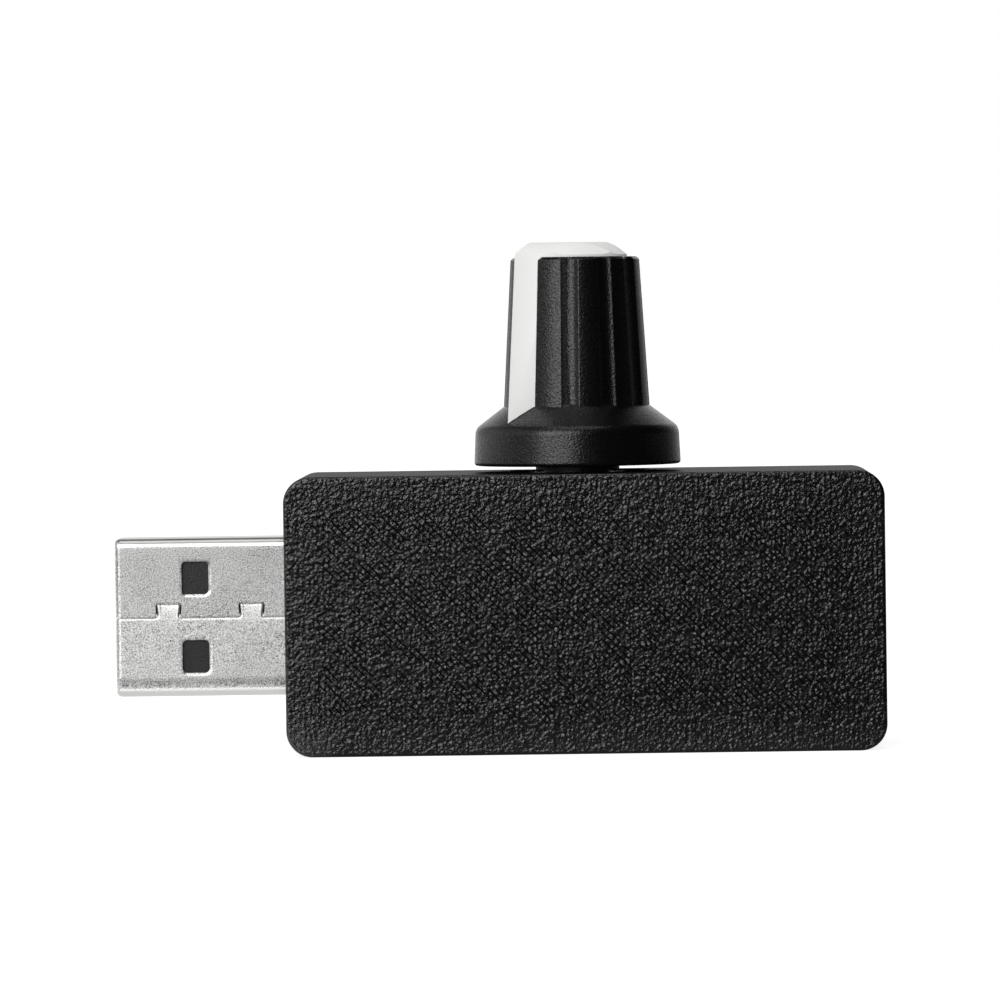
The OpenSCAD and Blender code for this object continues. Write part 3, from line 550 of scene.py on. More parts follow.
CARRIER_BLACK = Moulded("moulded_black", "carrier_black", (0.009, 0.009, 0.0092), 0.42, 0.15, 0.02, 1.0)
CARRIER_WHITE = Moulded("moulded_ivory", "carrier_white", (0.82, 0.81, 0.77), 0.45, 0.2, 0.003, 0.04)
GOLD = Plated("gold_flash", "gold_contact", (0.83, 0.6, 0.24), 0.26, 0.2, 0.002, 0.12, 0.1)
PLATED_STEEL = Plated("zinc_plated", "plated_steel", (0.5, 0.5, 0.48), 0.34, 0.2, 0.002, 0.12, 0.2)
TINNED = Plated("tinned_wire", "tinned_lead", (0.6, 0.59, 0.56), 0.3, 0.3, 0.003, 0.1, 0.1)
ALUMINIUM = Plated("drawn_aluminium", "can_aluminium", (0.7, 0.7, 0.71), 0.3, 0.2, 0.001, 0.08, 0.15)
BOARD_GREEN = Laminated("solder_mask_green", "board_green", (0.02, 0.12, 0.06), 0.3)
PHENOLIC = Laminated("phenolic_brown", "phenolic", (0.35, 0.18, 0.06), 0.5, 0.9, 0.2)
CARBON = Moulded("printed_carbon", "carbon_track", (0.015, 0.015, 0.015), 0.6, 0.05, 0.004, 0.3)
CHIP_BLACK = Moulded("epoxy_black", "chip_black", (0.02, 0.02, 0.022), 0.5, 0.06, 0.005, 0.2)
CERAMIC = Moulded("fired_tan", "ceramic_tan", (0.5, 0.38, 0.22), 0.45, 0.08, 0.003, 0.15)


class Tree(Canvas):
    """A Geometry Nodes tree with named inputs, which cuts what it makes to a solid."""

    def __init__(self, name: str, inputs: Dict[str, Sequence[str]]) -> None:
        """Makes the tree.

        Args:
            name: The tree's name.
            inputs: The names of its inputs, by the kind of their sockets.
        """
        super().__init__(bpy.data.node_groups.new(name, "GeometryNodeTree"))
        face = self.tree.interface
        for way in ("INPUT", "OUTPUT"):
            face.new_socket("Mesh", in_out=way, socket_type="NodeSocketGeometry")
        self.keys = {key: face.new_socket(key, in_out="INPUT", socket_type="NodeSocket" + kind).identifier
                     for kind, keys in inputs.items() for key in keys}
        self.source = self.node("NodeGroupInput")

    def given(self, name: str) -> Value:
        """One of the tree's inputs."""
        return self.source.output(name)

    def attribute(self, name: str) -> Value:
        """A number that each point of the mesh carries."""
        return self.node("GeometryNodeInputNamedAttribute", {"Name": name}, data_type="FLOAT")

    def moved(self, offset: Value) -> Value:
        """The tree's mesh with its points moved."""
        return self.node("GeometryNodeSetPosition", {"Geometry": self.source, "Offset": offset})

    def common(self, mesh: Value) -> Value:
        """Cuts a mesh to the tree's solid.

        Args:
            mesh: The geometry so far.

        Returns:
            What it has in common with the solid.
        """
        solid = self.node("GeometryNodeObjectInfo", {"Object": self.given("Solid")}).output("Geometry")
        cut = self.node("GeometryNodeMeshBoolean", operation="INTERSECT", solver="MANIFOLD")
        for part in (mesh, solid):
            self.tree.links.new(part.socket, cut.socket.node.inputs["Mesh 2"])
        return cut

    def close(self, mesh: Value, finish: str) -> Value:
        """Ends a mesh in Realize Instances and Set Material, by the name of its material's input."""
        whole = self.node("GeometryNodeRealizeInstances", {0: mesh})
        return self.node("GeometryNodeSetMaterial", {"Geometry": whole, "Material": self.given(finish)})

    def send(self, mesh: Value) -> None:
        """Gives the geometry to the tree's output."""
        self.node("NodeGroupOutput", {0: mesh})

    def run(self, mesh: bpy.types.Mesh, node: str, entries: Dict[str, Any]) -> bpy.types.Mesh:
        """Puts a mesh through the tree.

        Args:
            mesh: The mesh that the tree starts from.
            node: The name of the solid that it is cut to.
            entries: A value for each other input.

        Returns:
            A plain mesh.
        """
        solid = linked(node + "_solid", merged_copy(node))
        holder = linked(mesh.name, mesh)
        modifier = holder.modifiers.new("shape", "NODES")
        modifier.node_group = self.tree
        for name, entry in {"Solid": solid, **entries}.items():
            modifier[self.keys[name]] = entry
        return applied(holder, solid)


def linked(name: str, data: bpy.types.ID) -> bpy.types.Object:
    """Makes an object in the scene.

    Args:
        name: The object's name.
        data: Its mesh, lamp or camera.

    Returns:
        The object.
    """
    made = bpy.data.objects.new(name, data)
    bpy.context.scene.collection.objects.link(made)
    return made


def applied(holder: bpy.types.Object, *helpers: bpy.types.Object) -> bpy.types.Mesh:
    """The plain mesh that an object's modifiers give.

    Args:
        holder: The object; it is used up.
        helpers: Other objects that its modifiers need; they are used up too.

    Returns:
        The mesh.
    """
    depsgraph = bpy.context.evaluated_depsgraph_get()
    made = bpy.data.meshes.new_from_object(holder.evaluated_get(depsgraph), depsgraph=depsgraph)
    holder.modifiers.clear()
    for each in (holder, *helpers):
        bpy.data.objects.remove(each)
    return made


def mesh_from(name: str, points: np.ndarray, faces: Sequence[Sequence[int]]) -> bpy.types.Mesh:
    """A mesh from points in millimetres.

    Args:
        name: The mesh's name.
        points: One row of X, Y, Z for each point.
        faces: Point numbers of each face, seen from outside against the clock.

    Returns:
        The mesh, in metres.
    """
    mesh = bpy.data.meshes.new(name)
    mesh.from_pydata((points * MM).tolist(), [], faces)
    mesh.update()
    return mesh


def mark(mesh: bpy.types.Mesh, name: str, numbers: np.ndarray) -> None:
    """Gives each point of a mesh a number under an attribute's name."""
    mesh.attributes.new(name, "FLOAT", "POINT").data.foreach_set("value", numbers)


def edited(source: bpy.types.Mesh, target: bpy.types.Mesh,
           change: Callable[[bmesh.types.BMesh], Any]) -> bpy.types.Mesh:
    """Writes a mesh into another one, or back into itself, with a change made on the way.

    Args:
        source: The mesh that is read.
        target: The mesh that is written.
        change: What is done to the points and faces.

    Returns:
        The written mesh.
    """
    work = bmesh.new()
    work.from_mesh(source)
    change(work)
    work.to_mesh(target)
    work.free()
    return target


def merged_copy(node: str) -> bpy.types.Mesh:
    """A closed copy of a solid's mesh, with its points joined and without materials.

    Args:
        node: The solid's name.

    Returns:
        The copy.
    """
    mesh = edited(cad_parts[node].data, bpy.data.meshes.new(node + "_copy"),
                  lambda work: bmesh.ops.remove_doubles(work, verts=work.verts, dist=SAME_POINT))
    mesh.materials.clear()
    return mesh


def outward_mesh(mesh: bpy.types.Mesh) -> bpy.types.Mesh:
    """The same closed mesh with every face pointing outwards."""
    return edited(mesh, mesh, lambda work: bmesh.ops.recalc_face_normals(work, faces=work.faces))


def softened_copy(node: str, width: float, segments: int = 3) -> bpy.types.Mesh:
    """A copy of a solid with its edges rounded off.

    Args:
        node: The solid's name.
        width: How far the rounding reaches from an edge.
        segments: Steps of the rounding.

    Returns:
        The rounded mesh.
    """
    copy = merged_copy(node)
    edited(copy, copy, lambda work: bmesh.ops.dissolve_limit(
        work, angle_limit=math.radians(SAME_FACE), verts=work.verts, edges=work.edges))
    smooth(copy, BEVEL_ANGLE)
    holder = linked(node + "_soft", copy)
    bevel = holder.modifiers.new("soft_edges", "BEVEL")
    bevel.width = width * MM
    bevel.segments = segments
    bevel.limit_method = "ANGLE"
    bevel.angle_limit = math.radians(BEVEL_ANGLE)
    bevel.use_clamp_overlap = True
    bevel.harden_normals = True
    return applied(holder)


def combined(form: bpy.types.Mesh, copy: bpy.types.Mesh, operation: str = "INTERSECT") -> bpy.types.Mesh:
    """A closed form and a copy of a solid made into one mesh.

    Args:
        form: The form.
        copy: The solid's copy.
        operation: INTERSECT for what they have in common, UNION for both.

    Returns:
        The mesh.
    """
    holder = linked("cut_form", form)
    solid = linked("cut_solid", copy)
    cut = holder.modifiers.new("combined", "BOOLEAN")
    cut.operation = operation
    cut.solver = "MANIFOLD"
    cut.object = solid
    return applied(holder, solid)


def smooth(mesh: bpy.types.Mesh, angle: float) -> None:
    """Shades a mesh smoothly, but for edges that turn by more than an angle in degrees."""
    mesh.polygons.foreach_set("use_smooth", [True] * len(mesh.polygons))
    mesh.set_sharp_from_angle(angle=math.radians(angle))


def add_piece(name: str, mesh: bpy.types.Mesh, body: Body, node: str, finish: Finish,
              angle: float = 40.0) -> None:
    """Puts a finished mesh into the scene in place of a solid.

    Args:
        name: The piece's name.
        mesh: Its mesh.
        body: The body that it rides on.
        node: The solid that it stands for.
        finish: Its main finish.
        angle: Edges that turn by more than this, in degrees, stay crisp.
    """
    if not mesh.has_custom_normals:
        smooth(mesh, angle)
    if not any(mesh.materials):
        mesh.materials.clear()
        mesh.materials.append(finish.material())
    mesh.name = name
    piece = linked(name, mesh)
    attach(piece, body.value)
    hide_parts(node)
    log.info("%s: %d faces on %s", name, len(mesh.polygons), body.value)


def dress(node: str, finish: Finish) -> None:
    """Gives a solid that stays as it is its finish.

    Args:
        node: The solid's name.
        finish: Its finish.
    """
    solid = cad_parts[node]
    solid.data.materials.clear()
    solid.data.materials.append(finish.material())
    log.info("%s: solid kept, finish %s", node, finish.name)


def arc(middle: Sequence[float], radius: float, start: float, stop: float, count: int) -> np.ndarray:
    """Points of an arc between two angles in radians, one row for each."""
    turn = np.linspace(start, stop, count)
    return np.asarray(middle) + radius * np.stack([np.cos(turn), np.sin(turn)], axis=1)


def tube_faces(rings: np.ndarray) -> List[List[int]]:
    """Quads between closed rings that follow each other, from the points' numbers, one row for a ring."""
    after = np.roll(rings, -1, axis=1)
    return np.stack([rings[:-1], after[:-1], after[1:], rings[1:]], axis=-1).reshape(-1, 4).tolist()


def fan_faces(middle: int, ring: np.ndarray) -> List[List[int]]:
    """Triangles between a point and a closed ring, from the points' numbers."""
    return np.stack([np.full(len(ring), middle), ring, np.roll(ring, -1)], axis=1).tolist()


def bridge_faces(dense: np.ndarray, coarse: np.ndarray, first: int, second: int) -> List[List[int]]:
    """Triangles between two closed rings with different numbers of points.

    Args:
        dense: X and Z of each point of the first ring.
        coarse: The same for the second ring.
        first: Number of the first ring's first point.
        second: The same of the second ring.

    Returns:
        The triangles.
    """
    ends_a, ends_b = ([*way_round(loop), 1.0] for loop in (dense, coarse))
    faces: List[List[int]] = []
    a = b = 0
    while a < len(dense) or b < len(coarse):
        here_a, here_b = first + a % len(dense), second + b % len(coarse)
        if b == len(coarse) or (a < len(dense) and ends_a[a + 1] <= ends_b[b + 1]):
            faces.append([here_a, first + (a + 1) % len(dense), here_b])
            a += 1
        else:
            faces.append([here_a, second + (b + 1) % len(coarse), here_b])
            b += 1
    return faces


def way_round(loop: np.ndarray) -> np.ndarray:
    """Share of the way round a closed loop at each of its points."""
    steps = np.linalg.norm(np.roll(loop, -1, axis=0) - loop, axis=1)
    return np.concatenate([[0.0], np.cumsum(steps)[:-1]]) / steps.sum()


@dataclass
class PrintedCase:
    """The case's two printed halves: pebbled outer faces, rounded edges and layered walls."""

    corner_r: float = 2.0
    corner_rows: int = 24
    corner_steps: int = 10
    edge_r: float = 0.26
    edge_steps: int = 5
    grain_fade: float = 1.5
    grid: float = 0.11
    layer: float = 0.2
    layer_rows: int = 4
    bead: float = 0.022
    seam_y: float = 6.0
    seam_r: float = 0.12
    front_overlap: float = 0.6
    cover_reach: float = 9.0
    face_band: float = 0.2
    face_slant: float = 0.35
    crisp_angle: float = 48.0

    def __post_init__(self) -> None:
        """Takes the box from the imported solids."""
        low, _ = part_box("front_shell")
        _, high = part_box("rear_cover")
        self.half_w = (high.x - low.x) / MM / 2 - FLAT_SKIN
        self.half_h = (high.z - low.z) / MM / 2 - FLAT_SKIN
        self.mid_z = (high.z + low.z) / MM / 2
        self.face_y = {Side.FRONT: low.y / MM + FLAT_SKIN, Side.REAR: high.y / MM - FLAT_SKIN}

    def half_width(self, z: np.ndarray, inset: float) -> np.ndarray:
        """Half of the outline's width.

        Args:
            z: Heights from the outline's middle.
            inset: How far the outline is drawn in.

        Returns:
            The half width at each height.
        """
        radius = self.corner_r - inset
        beyond = np.clip(np.abs(z) - (self.half_h - self.corner_r), 0.0, radius)
        return self.half_w - self.corner_r + np.sqrt(radius ** 2 - beyond ** 2)

    def face_grid(self) -> Tuple[np.ndarray, np.ndarray]:
        """Points of the flat part of a face.

        Returns:
            X and Z of each point, and the points' numbers in rows and columns.
        """
        reach = self.half_h - self.edge_r
        radius = self.corner_r - self.edge_r
        curl = radius * (1 - np.cos(np.linspace(0, QUARTER, self.corner_rows + 1)))
        straight = reach - radius
        middle = np.linspace(-straight, straight, int(2 * straight / self.grid) + 1)
        z = np.concatenate([-reach + curl[:-1], middle, (reach - curl[:-1])[::-1]])
        across = np.linspace(-1, 1, int(2 * self.half_w / self.grid) + 1)
        x = across[None, :] * self.half_width(z, self.edge_r)[:, None]
        flat = np.stack([x.ravel(), np.repeat(z, len(across))], axis=1)
        return flat, np.arange(len(flat)).reshape(x.shape)

    def outward(self, loop: np.ndarray) -> np.ndarray:
        """Directions out of the outline.

        Args:
            loop: X and Z of points on or near it.

        Returns:
            The direction at each point.
        """
        reach = np.array([self.half_w, self.half_h]) - self.corner_r
        away = loop - np.clip(loop, -reach, reach)
        return away / np.linalg.norm(away, axis=1)[:, None]

    def outline(self) -> np.ndarray:
        """The outer outline with few points, from its lower side's start, against the clock.

        Returns:
            X and Z of each point.
        """
        x, z = self.half_w - self.corner_r, self.half_h - self.corner_r
        arcs = [arc(middle, self.corner_r, (number - 1) * QUARTER, number * QUARTER, self.corner_steps + 1)
                for number, middle in enumerate(((x, -z), (x, z), (-x, z), (-x, -z)))]
        return np.roll(np.concatenate(arcs), 1, axis=0)

    def wall_depths(self, side: Side) -> np.ndarray:
        """Depths of the wall's rings behind a face.

        Args:
            side: The face.

        Returns:
            The depths.
        """
        past_seam = self.front_overlap if side is Side.FRONT else self.cover_reach
        layers = int((abs(self.face_y[side] - self.seam_y) + past_seam) / self.layer)
        first_layer = math.ceil(self.edge_r / self.layer) + 1
        rows = np.arange(first_layer * self.layer_rows, layers * self.layer_rows + 1)
        return rows * self.layer / self.layer_rows

    def wall_inset(self, depth: float, y: float) -> float:
        """How far the wall lies back between two beads and at the seam.

        Args:
            depth: The place's depth behind the face.
            y: The same place in the frame.

        Returns:
            The distance.
        """
        share = (depth / self.layer) % 1.0
        seam = self.seam_r * max(0.0, 1 - abs(y - self.seam_y) / self.seam_r) ** 2
        return self.bead * (2 * share - 1) ** 2 + seam

    @staticmethod
    def level(loop: np.ndarray, y: float) -> np.ndarray:
        """Points of a loop of X and Z at one depth."""
        return np.stack([loop[:, 0], np.full(len(loop), y), loop[:, 1]], axis=1)

    def block(self, side: Side) -> bpy.types.Mesh:
        """A closed block with one finely divided face and layered walls.

        Args:
            side: The face that it has.

        Returns:
            The mesh; its attribute "pebbled" is one on the face and nought on the walls.
        """
        inward, face_y = -side.value, self.face_y[side]
        flat, grid = self.face_grid()
        quads = np.stack([grid[:-1, :-1], grid[:-1, 1:], grid[1:, 1:], grid[1:, :-1]], axis=-1)
        rim = np.concatenate([grid[0], grid[1:, -1], grid[-1, -2::-1], grid[-2:0:-1, 0]])
        points, weights = [self.level(flat, face_y)], [np.ones(len(flat))]
        out = self.outward(flat[rim])
        for step in range(1, self.edge_steps + 1):
            turn = QUARTER * step / self.edge_steps
            dense = flat[rim] + out * self.edge_r * math.sin(turn)
            points.append(self.level(dense, face_y + inward * self.edge_r * (1 - math.cos(turn))))
            weights.append(np.full(len(rim), max(0.0, 1.0 - self.grain_fade * step / self.edge_steps)))
        edge = len(flat) + np.arange(self.edge_steps * len(rim)).reshape(self.edge_steps, -1)
        coarse = self.outline()
        out = self.outward(coarse)
        depths = self.wall_depths(side)
        for depth in depths:
            y = face_y + inward * depth
            points.append(self.level(coarse - out * self.wall_inset(depth, y), y))
            weights.append(np.zeros(len(coarse)))
        wall = len(flat) + edge.size + np.arange(len(depths) * len(coarse)).reshape(len(depths), -1)
        sides = tube_faces(np.vstack([rim, edge]))
        sides += bridge_faces(dense, coarse, int(edge[-1, 0]), int(wall[0, 0]))
        sides += tube_faces(wall) + [wall[-1].tolist()]
        faces = quads.reshape(-1, 4).tolist() + [face[::-1] for face in sides]
        if side is Side.REAR:
            faces = [face[::-1] for face in faces]
        mesh = mesh_from("printed_block", np.concatenate(points) + (0.0, 0.0, self.mid_z), faces)
        mark(mesh, "pebbled", np.concatenate(weights))
        return mesh

    def shell_tree(self) -> Tree:
        """Makes the tree that presses the bed's grain into a block and cuts the block to its solid.

        Returns:
            The tree.
        """
        tree = Tree("printed_half", {
            "Object": ("Solid",), "Float": ("Grain Depth", "Inward", "Face", "Face Band"),
            "Material": ("Wall Finish", "Face Finish")})
        depth, inward, face, band = map(tree.given, ("Grain Depth", "Inward", "Face", "Face Band"))
        position = tree.node("GeometryNodeInputPosition")
        lumps = PEBBLES.soft_height(tree, tree.scaled(position, PER_MM))
        pit = (1.0 - lumps) * tree.attribute("pebbled")
        pressed = tree.moved(tree.joined(0.0, pit * depth * inward, 0.0))
        walls = tree.close(tree.common(pressed), "Wall Finish")
        _, y, _ = tree.axes(position)
        _, facing, _ = tree.axes(tree.node("GeometryNodeInputNormal"))
        chosen = (abs(y - face) < band) * ((0.0 - facing * inward) > self.face_slant)
        tree.send(tree.node("GeometryNodeSetMaterial", {
            "Geometry": walls, "Selection": chosen, "Material": tree.given("Face Finish")}))
        return tree

    def build(self) -> None:
        """Makes and places both halves."""
        tree = self.shell_tree()
        halves = (("front_shell", Side.FRONT, CASE_FACE), ("rear_cover", Side.REAR, CASE_REAR))
        for node, side, face in halves:
            mesh = tree.run(self.block(side), node, {
                "Grain Depth": PEBBLES.lump_depth * MM, "Inward": -side.value,
                "Face": self.face_y[side] * MM, "Face Band": self.face_band * MM,
                "Wall Finish": CASE_WALL.material(), "Face Finish": face.material()})
            add_piece(node + "_printed", mesh, Body.CASE, node, CASE_WALL, self.crisp_angle)


@dataclass
class ControlKnob:
    """The knob: a black fluted sleeve with a flange, and a white core that ends in a pointer."""

    axis_x: float = -0.45
    foot_z: float = 21.5
    flange_r: float = 7.85
    flange_draft: float = 0.13
    flange_edge_r: float = 0.25
    flange_steps: int = 6
    shoulder_h: float = 4.45
    shoulder_angle: float = 37.0
    shoulder_r: float = 0.9
    shoulder_steps: int = 9
    shoulder_skin: float = 0.4
    body_r: float = 5.57
    body_steps: int = 10
    top_r: float = 4.91
    sleeve_h: float = 15.75
    rim_r: float = 0.32
    rim_steps: int = 7
    columns: int = 720
    crisp_angle: float = 35.0
    flute_count: int = 10
    flute_first: float = 41.0
    flute_r: float = 1.1
    flute_depth: float = 0.27
    flute_softness: float = 0.12
    core_r: float = 3.95
    core_rise: float = 1.1
    core_slope: Pair = (1.6, 0.95)
    core_edge: float = 0.08
    core_grid: float = 0.1
    core_columns: int = 360
    core_beyond: float = 0.5
    core_below: float = 1.0
    pointer_dir: float = 224.0
    pointer_r: float = 7.2
    pointer_half: float = 33.0
    pointer_slope: Pair = (0.95, 0.8)
    slope_power: float = 1.5
    top_blend: float = 0.4
    wedge_fade: float = 0.45

    def __post_init__(self) -> None:
        """Works out the shoulder's slope and the foot of the axis."""
        self.slope = math.radians(self.shoulder_angle)
        self.foot = np.array([self.axis_x, 0.0, self.foot_z])

    def profile(self) -> np.ndarray:
        """The sleeve's half section without flutes, from the axis below to the axis above.

        Returns:
            Radius and height of each point, drawn in by the skin.
        """
        side_r = self.flange_r - self.flange_draft
        corner = self.shoulder_h - (side_r - self.body_r) * math.tan(self.slope)
        lean = math.atan((self.flange_r - side_r) / corner)
        normal = np.array([math.cos(lean), math.sin(lean)])
        run = self.shoulder_r * math.tan((QUARTER - self.slope - lean) / 2)
        side_end = np.array([side_r + run * math.sin(lean), corner - run * math.cos(lean)])
        edge_mid = (self.flange_r - self.flange_edge_r * (1 + normal[1]) / normal[0], self.flange_edge_r)
        draft = math.atan((self.body_r - self.top_r) / (self.sleeve_h - self.shoulder_h))
        rim_mid = (self.top_r - self.rim_r * (1 - math.sin(draft)) / math.cos(draft),
                   self.sleeve_h - self.rim_r)
        flange = arc(edge_mid, self.flange_edge_r - ROUND_SKIN, -QUARTER, lean, self.flange_steps)
        shoulder = arc(side_end - self.shoulder_r * normal, self.shoulder_r - ROUND_SKIN,
                       lean, QUARTER - self.slope, self.shoulder_steps)
        rim = arc(rim_mid, self.rim_r - ROUND_SKIN, draft, QUARTER, self.rim_steps)
        foot = np.array([self.body_r - ROUND_SKIN, self.shoulder_h - ROUND_SKIN * self.shoulder_skin])
        body = foot + (rim[0] - foot) * np.linspace(0, 1, self.body_steps)[:-1, None]
        return np.concatenate([flange, shoulder, body, rim])

    def revolved(self) -> bpy.types.Mesh:
        """The sleeve's plain form, closed at the axis below and above.

        Returns:
            The mesh; its attribute "body" is one from the body's foot upwards.
        """
        rows = self.profile()
        turn = np.linspace(0, 2 * math.pi, self.columns, endpoint=False)
        around = np.stack([np.cos(turn), np.sin(turn), np.zeros_like(turn)], axis=1)
        points = [r * around + (0.0, 0.0, z) for r, z in rows]
        points.append(np.array([[0.0, 0.0, rows[0, 1]], [0.0, 0.0, rows[-1, 1]]]))
        rings = np.arange(rows.shape[0] * self.columns).reshape(-1, self.columns)
        faces = tube_faces(rings) + fan_faces(rings.size, rings[0, ::-1])
        faces += fan_faces(rings.size + 1, rings[-1])
        mesh = mesh_from("plain_sleeve", np.concatenate(points) + self.foot, faces)
        in_body = np.repeat((rows[:, 1] > self.shoulder_h - 2 * ROUND_SKIN).astype(float), self.columns)
        mark(mesh, "body", np.concatenate([in_body, [0.0, 0.0]]))
        return mesh

    @staticmethod
    def flute_tree() -> Tree:
        """Makes the tree that draws flutes into the plain sleeve and cuts it to its solid.

        Returns:
            The tree.
        """
        tree = Tree("fluted_sleeve", {
            "Object": ("Solid",), "Int": ("Flutes",), "Vector": ("Axis",), "Material": ("Finish",),
            "Float": ("First Angle", "Step Angle", "Flute Radius", "Flute Depth", "Softness", "Foot Radius",
                      "Top Radius", "Foot Height", "Top Height", "Slope")})
        first, pitch, radius, sunk = map(
            tree.given, ("First Angle", "Step Angle", "Flute Radius", "Flute Depth"))
        foot_r, top_r, foot_z, top_z = map(
            tree.given, ("Foot Radius", "Top Radius", "Foot Height", "Top Height"))
        position = tree.node("GeometryNodeInputPosition")
        x, y, z = tree.axes(tree.vector("SUBTRACT", position, tree.given("Axis")))
        rise = ((z - foot_z) / (top_z - foot_z)).maths("MINIMUM", 1.0).maths("MAXIMUM", 0.0)
        wall = foot_r + (top_r - foot_r) * rise
        turn = (y.maths("ARCTAN2", x) - first).maths("FLOORED_MODULO", 2 * math.pi)
        number = (turn / pitch).maths("ROUND").maths("MINIMUM", tree.given("Flutes") - 1.0)
        off = turn - number * pitch
        mid = wall + radius - sunk
        across = mid * off.maths("SINE")
        inside = (radius * radius - across * across).maths("MAXIMUM", 0.0)
        hollow = mid * off.maths("COSINE") - inside.maths("SQRT")
        depth = (wall - hollow).maths("SMOOTH_MAX", 0.0, tree.given("Softness"))
        depth = depth * (abs(off) < pitch * 0.5) * tree.attribute("body")
        outward = tree.vector("NORMALIZE", tree.joined(x, y, 0.0))
        lift = tree.joined(0.0, 0.0, depth * tree.given("Slope") * (1.0 - rise))
        fluted = tree.moved(tree.vector("SUBTRACT", lift, tree.scaled(outward, depth)))
        tree.send(tree.close(tree.common(fluted), "Finish"))
        return tree

    def top_drop(self, inside: np.ndarray, slope: Pair) -> np.ndarray:
        """How far a top with worn-down edges lies below its highest plane.

        Args:
            inside: Distance of each point from the top's outline, less than nought outside it.
            slope: Width and height of the slope along the outline.

        Returns:
            The drop of each point.
        """
        width, height = slope
        share = 1.0 - np.minimum(inside / width, 1.0)
        return height * share ** self.slope_power

    def core_form(self) -> bpy.types.Mesh:
        """A closed block whose top is the core's: a disc and a pointer that slope down to their outlines.

        Returns:
            The mesh.
        """
        high = self.sleeve_h + self.core_rise
        pointer_foot = self.shoulder_h - (self.pointer_r - self.body_r) * math.tan(self.slope)
        draft = (1 - self.top_r / self.body_r) / (self.sleeve_h - self.shoulder_h)
        tip = self.pointer_r * (1 - draft * (high - pointer_foot))
        radii = np.arange(self.core_grid, self.pointer_r + self.core_beyond, self.core_grid)
        turn = np.linspace(0, 2 * math.pi, self.core_columns, endpoint=False)
        r, t = (grid.ravel() for grid in np.meshgrid(radii, turn, indexing="ij"))
        half = math.radians(self.pointer_half)
        away = t - math.radians(self.pointer_dir)
        along = r * np.cos(away)
        in_wedge = (tip - along) * math.sin(half) - np.abs(r * np.sin(away)) * math.cos(half)
        disc = self.top_drop(self.core_r - r, self.core_slope)
        wedge = self.top_drop(np.minimum(in_wedge, along * self.wedge_fade), self.pointer_slope)
        near = np.clip(1 - np.abs(disc - wedge) / self.top_blend, 0.0, 1.0)
        drop = np.maximum(np.minimum(disc, wedge) - self.top_blend / 4 * near ** 2, 0.0)
        top_z = high - FLAT_SKIN
        top = np.stack([r * np.cos(t), r * np.sin(t), top_z - drop], axis=1)
        bottom = top[-len(turn):] * (1.0, 1.0, 0.0) - (0.0, 0.0, self.core_below)
        ends = np.array([[0.0, 0.0, top_z], [0.0, 0.0, -self.core_below]])
        rings = np.arange(len(top) + len(turn)).reshape(-1, len(turn))
        faces = tube_faces(rings) + fan_faces(rings.size, rings[0]) + fan_faces(rings.size + 1, rings[-1])
        return outward_mesh(mesh_from("core_form", np.concatenate([top, bottom, ends]) + self.foot, faces))

    def build(self) -> None:
        """Makes and places the sleeve and the core, and gives what turns with them its finish."""
        step = (360.0 - 2 * self.flute_first) / (self.flute_count - 1)
        mesh = self.flute_tree().run(self.revolved(), "knob_sleeve", {
            "Flutes": self.flute_count, "First Angle": math.radians(self.pointer_dir + self.flute_first),
            "Step Angle": math.radians(step), "Flute Radius": self.flute_r * MM,
            "Flute Depth": self.flute_depth * MM, "Softness": self.flute_softness * MM,
            "Foot Radius": self.body_r * MM, "Top Radius": self.top_r * MM,
            "Foot Height": self.shoulder_h * MM, "Top Height": self.sleeve_h * MM,
            "Slope": math.tan(self.slope), "Axis": tuple(self.foot * MM), "Finish": KNOB_BLACK.material()})
        add_piece("knob_sleeve_fluted", mesh, Body.KNOB, "knob_sleeve", KNOB_BLACK, self.crisp_angle)
        core = combined(self.core_form(), softened_copy("knob_core", self.core_edge))
        add_piece("knob_core_moulded", core, Body.KNOB, "knob_core", KNOB_WHITE)
        dress("pot_shaft", SHAFT_DARK)
        dress("pot_rotor", CARRIER_WHITE)
        dress("pot_wiper", GOLD)


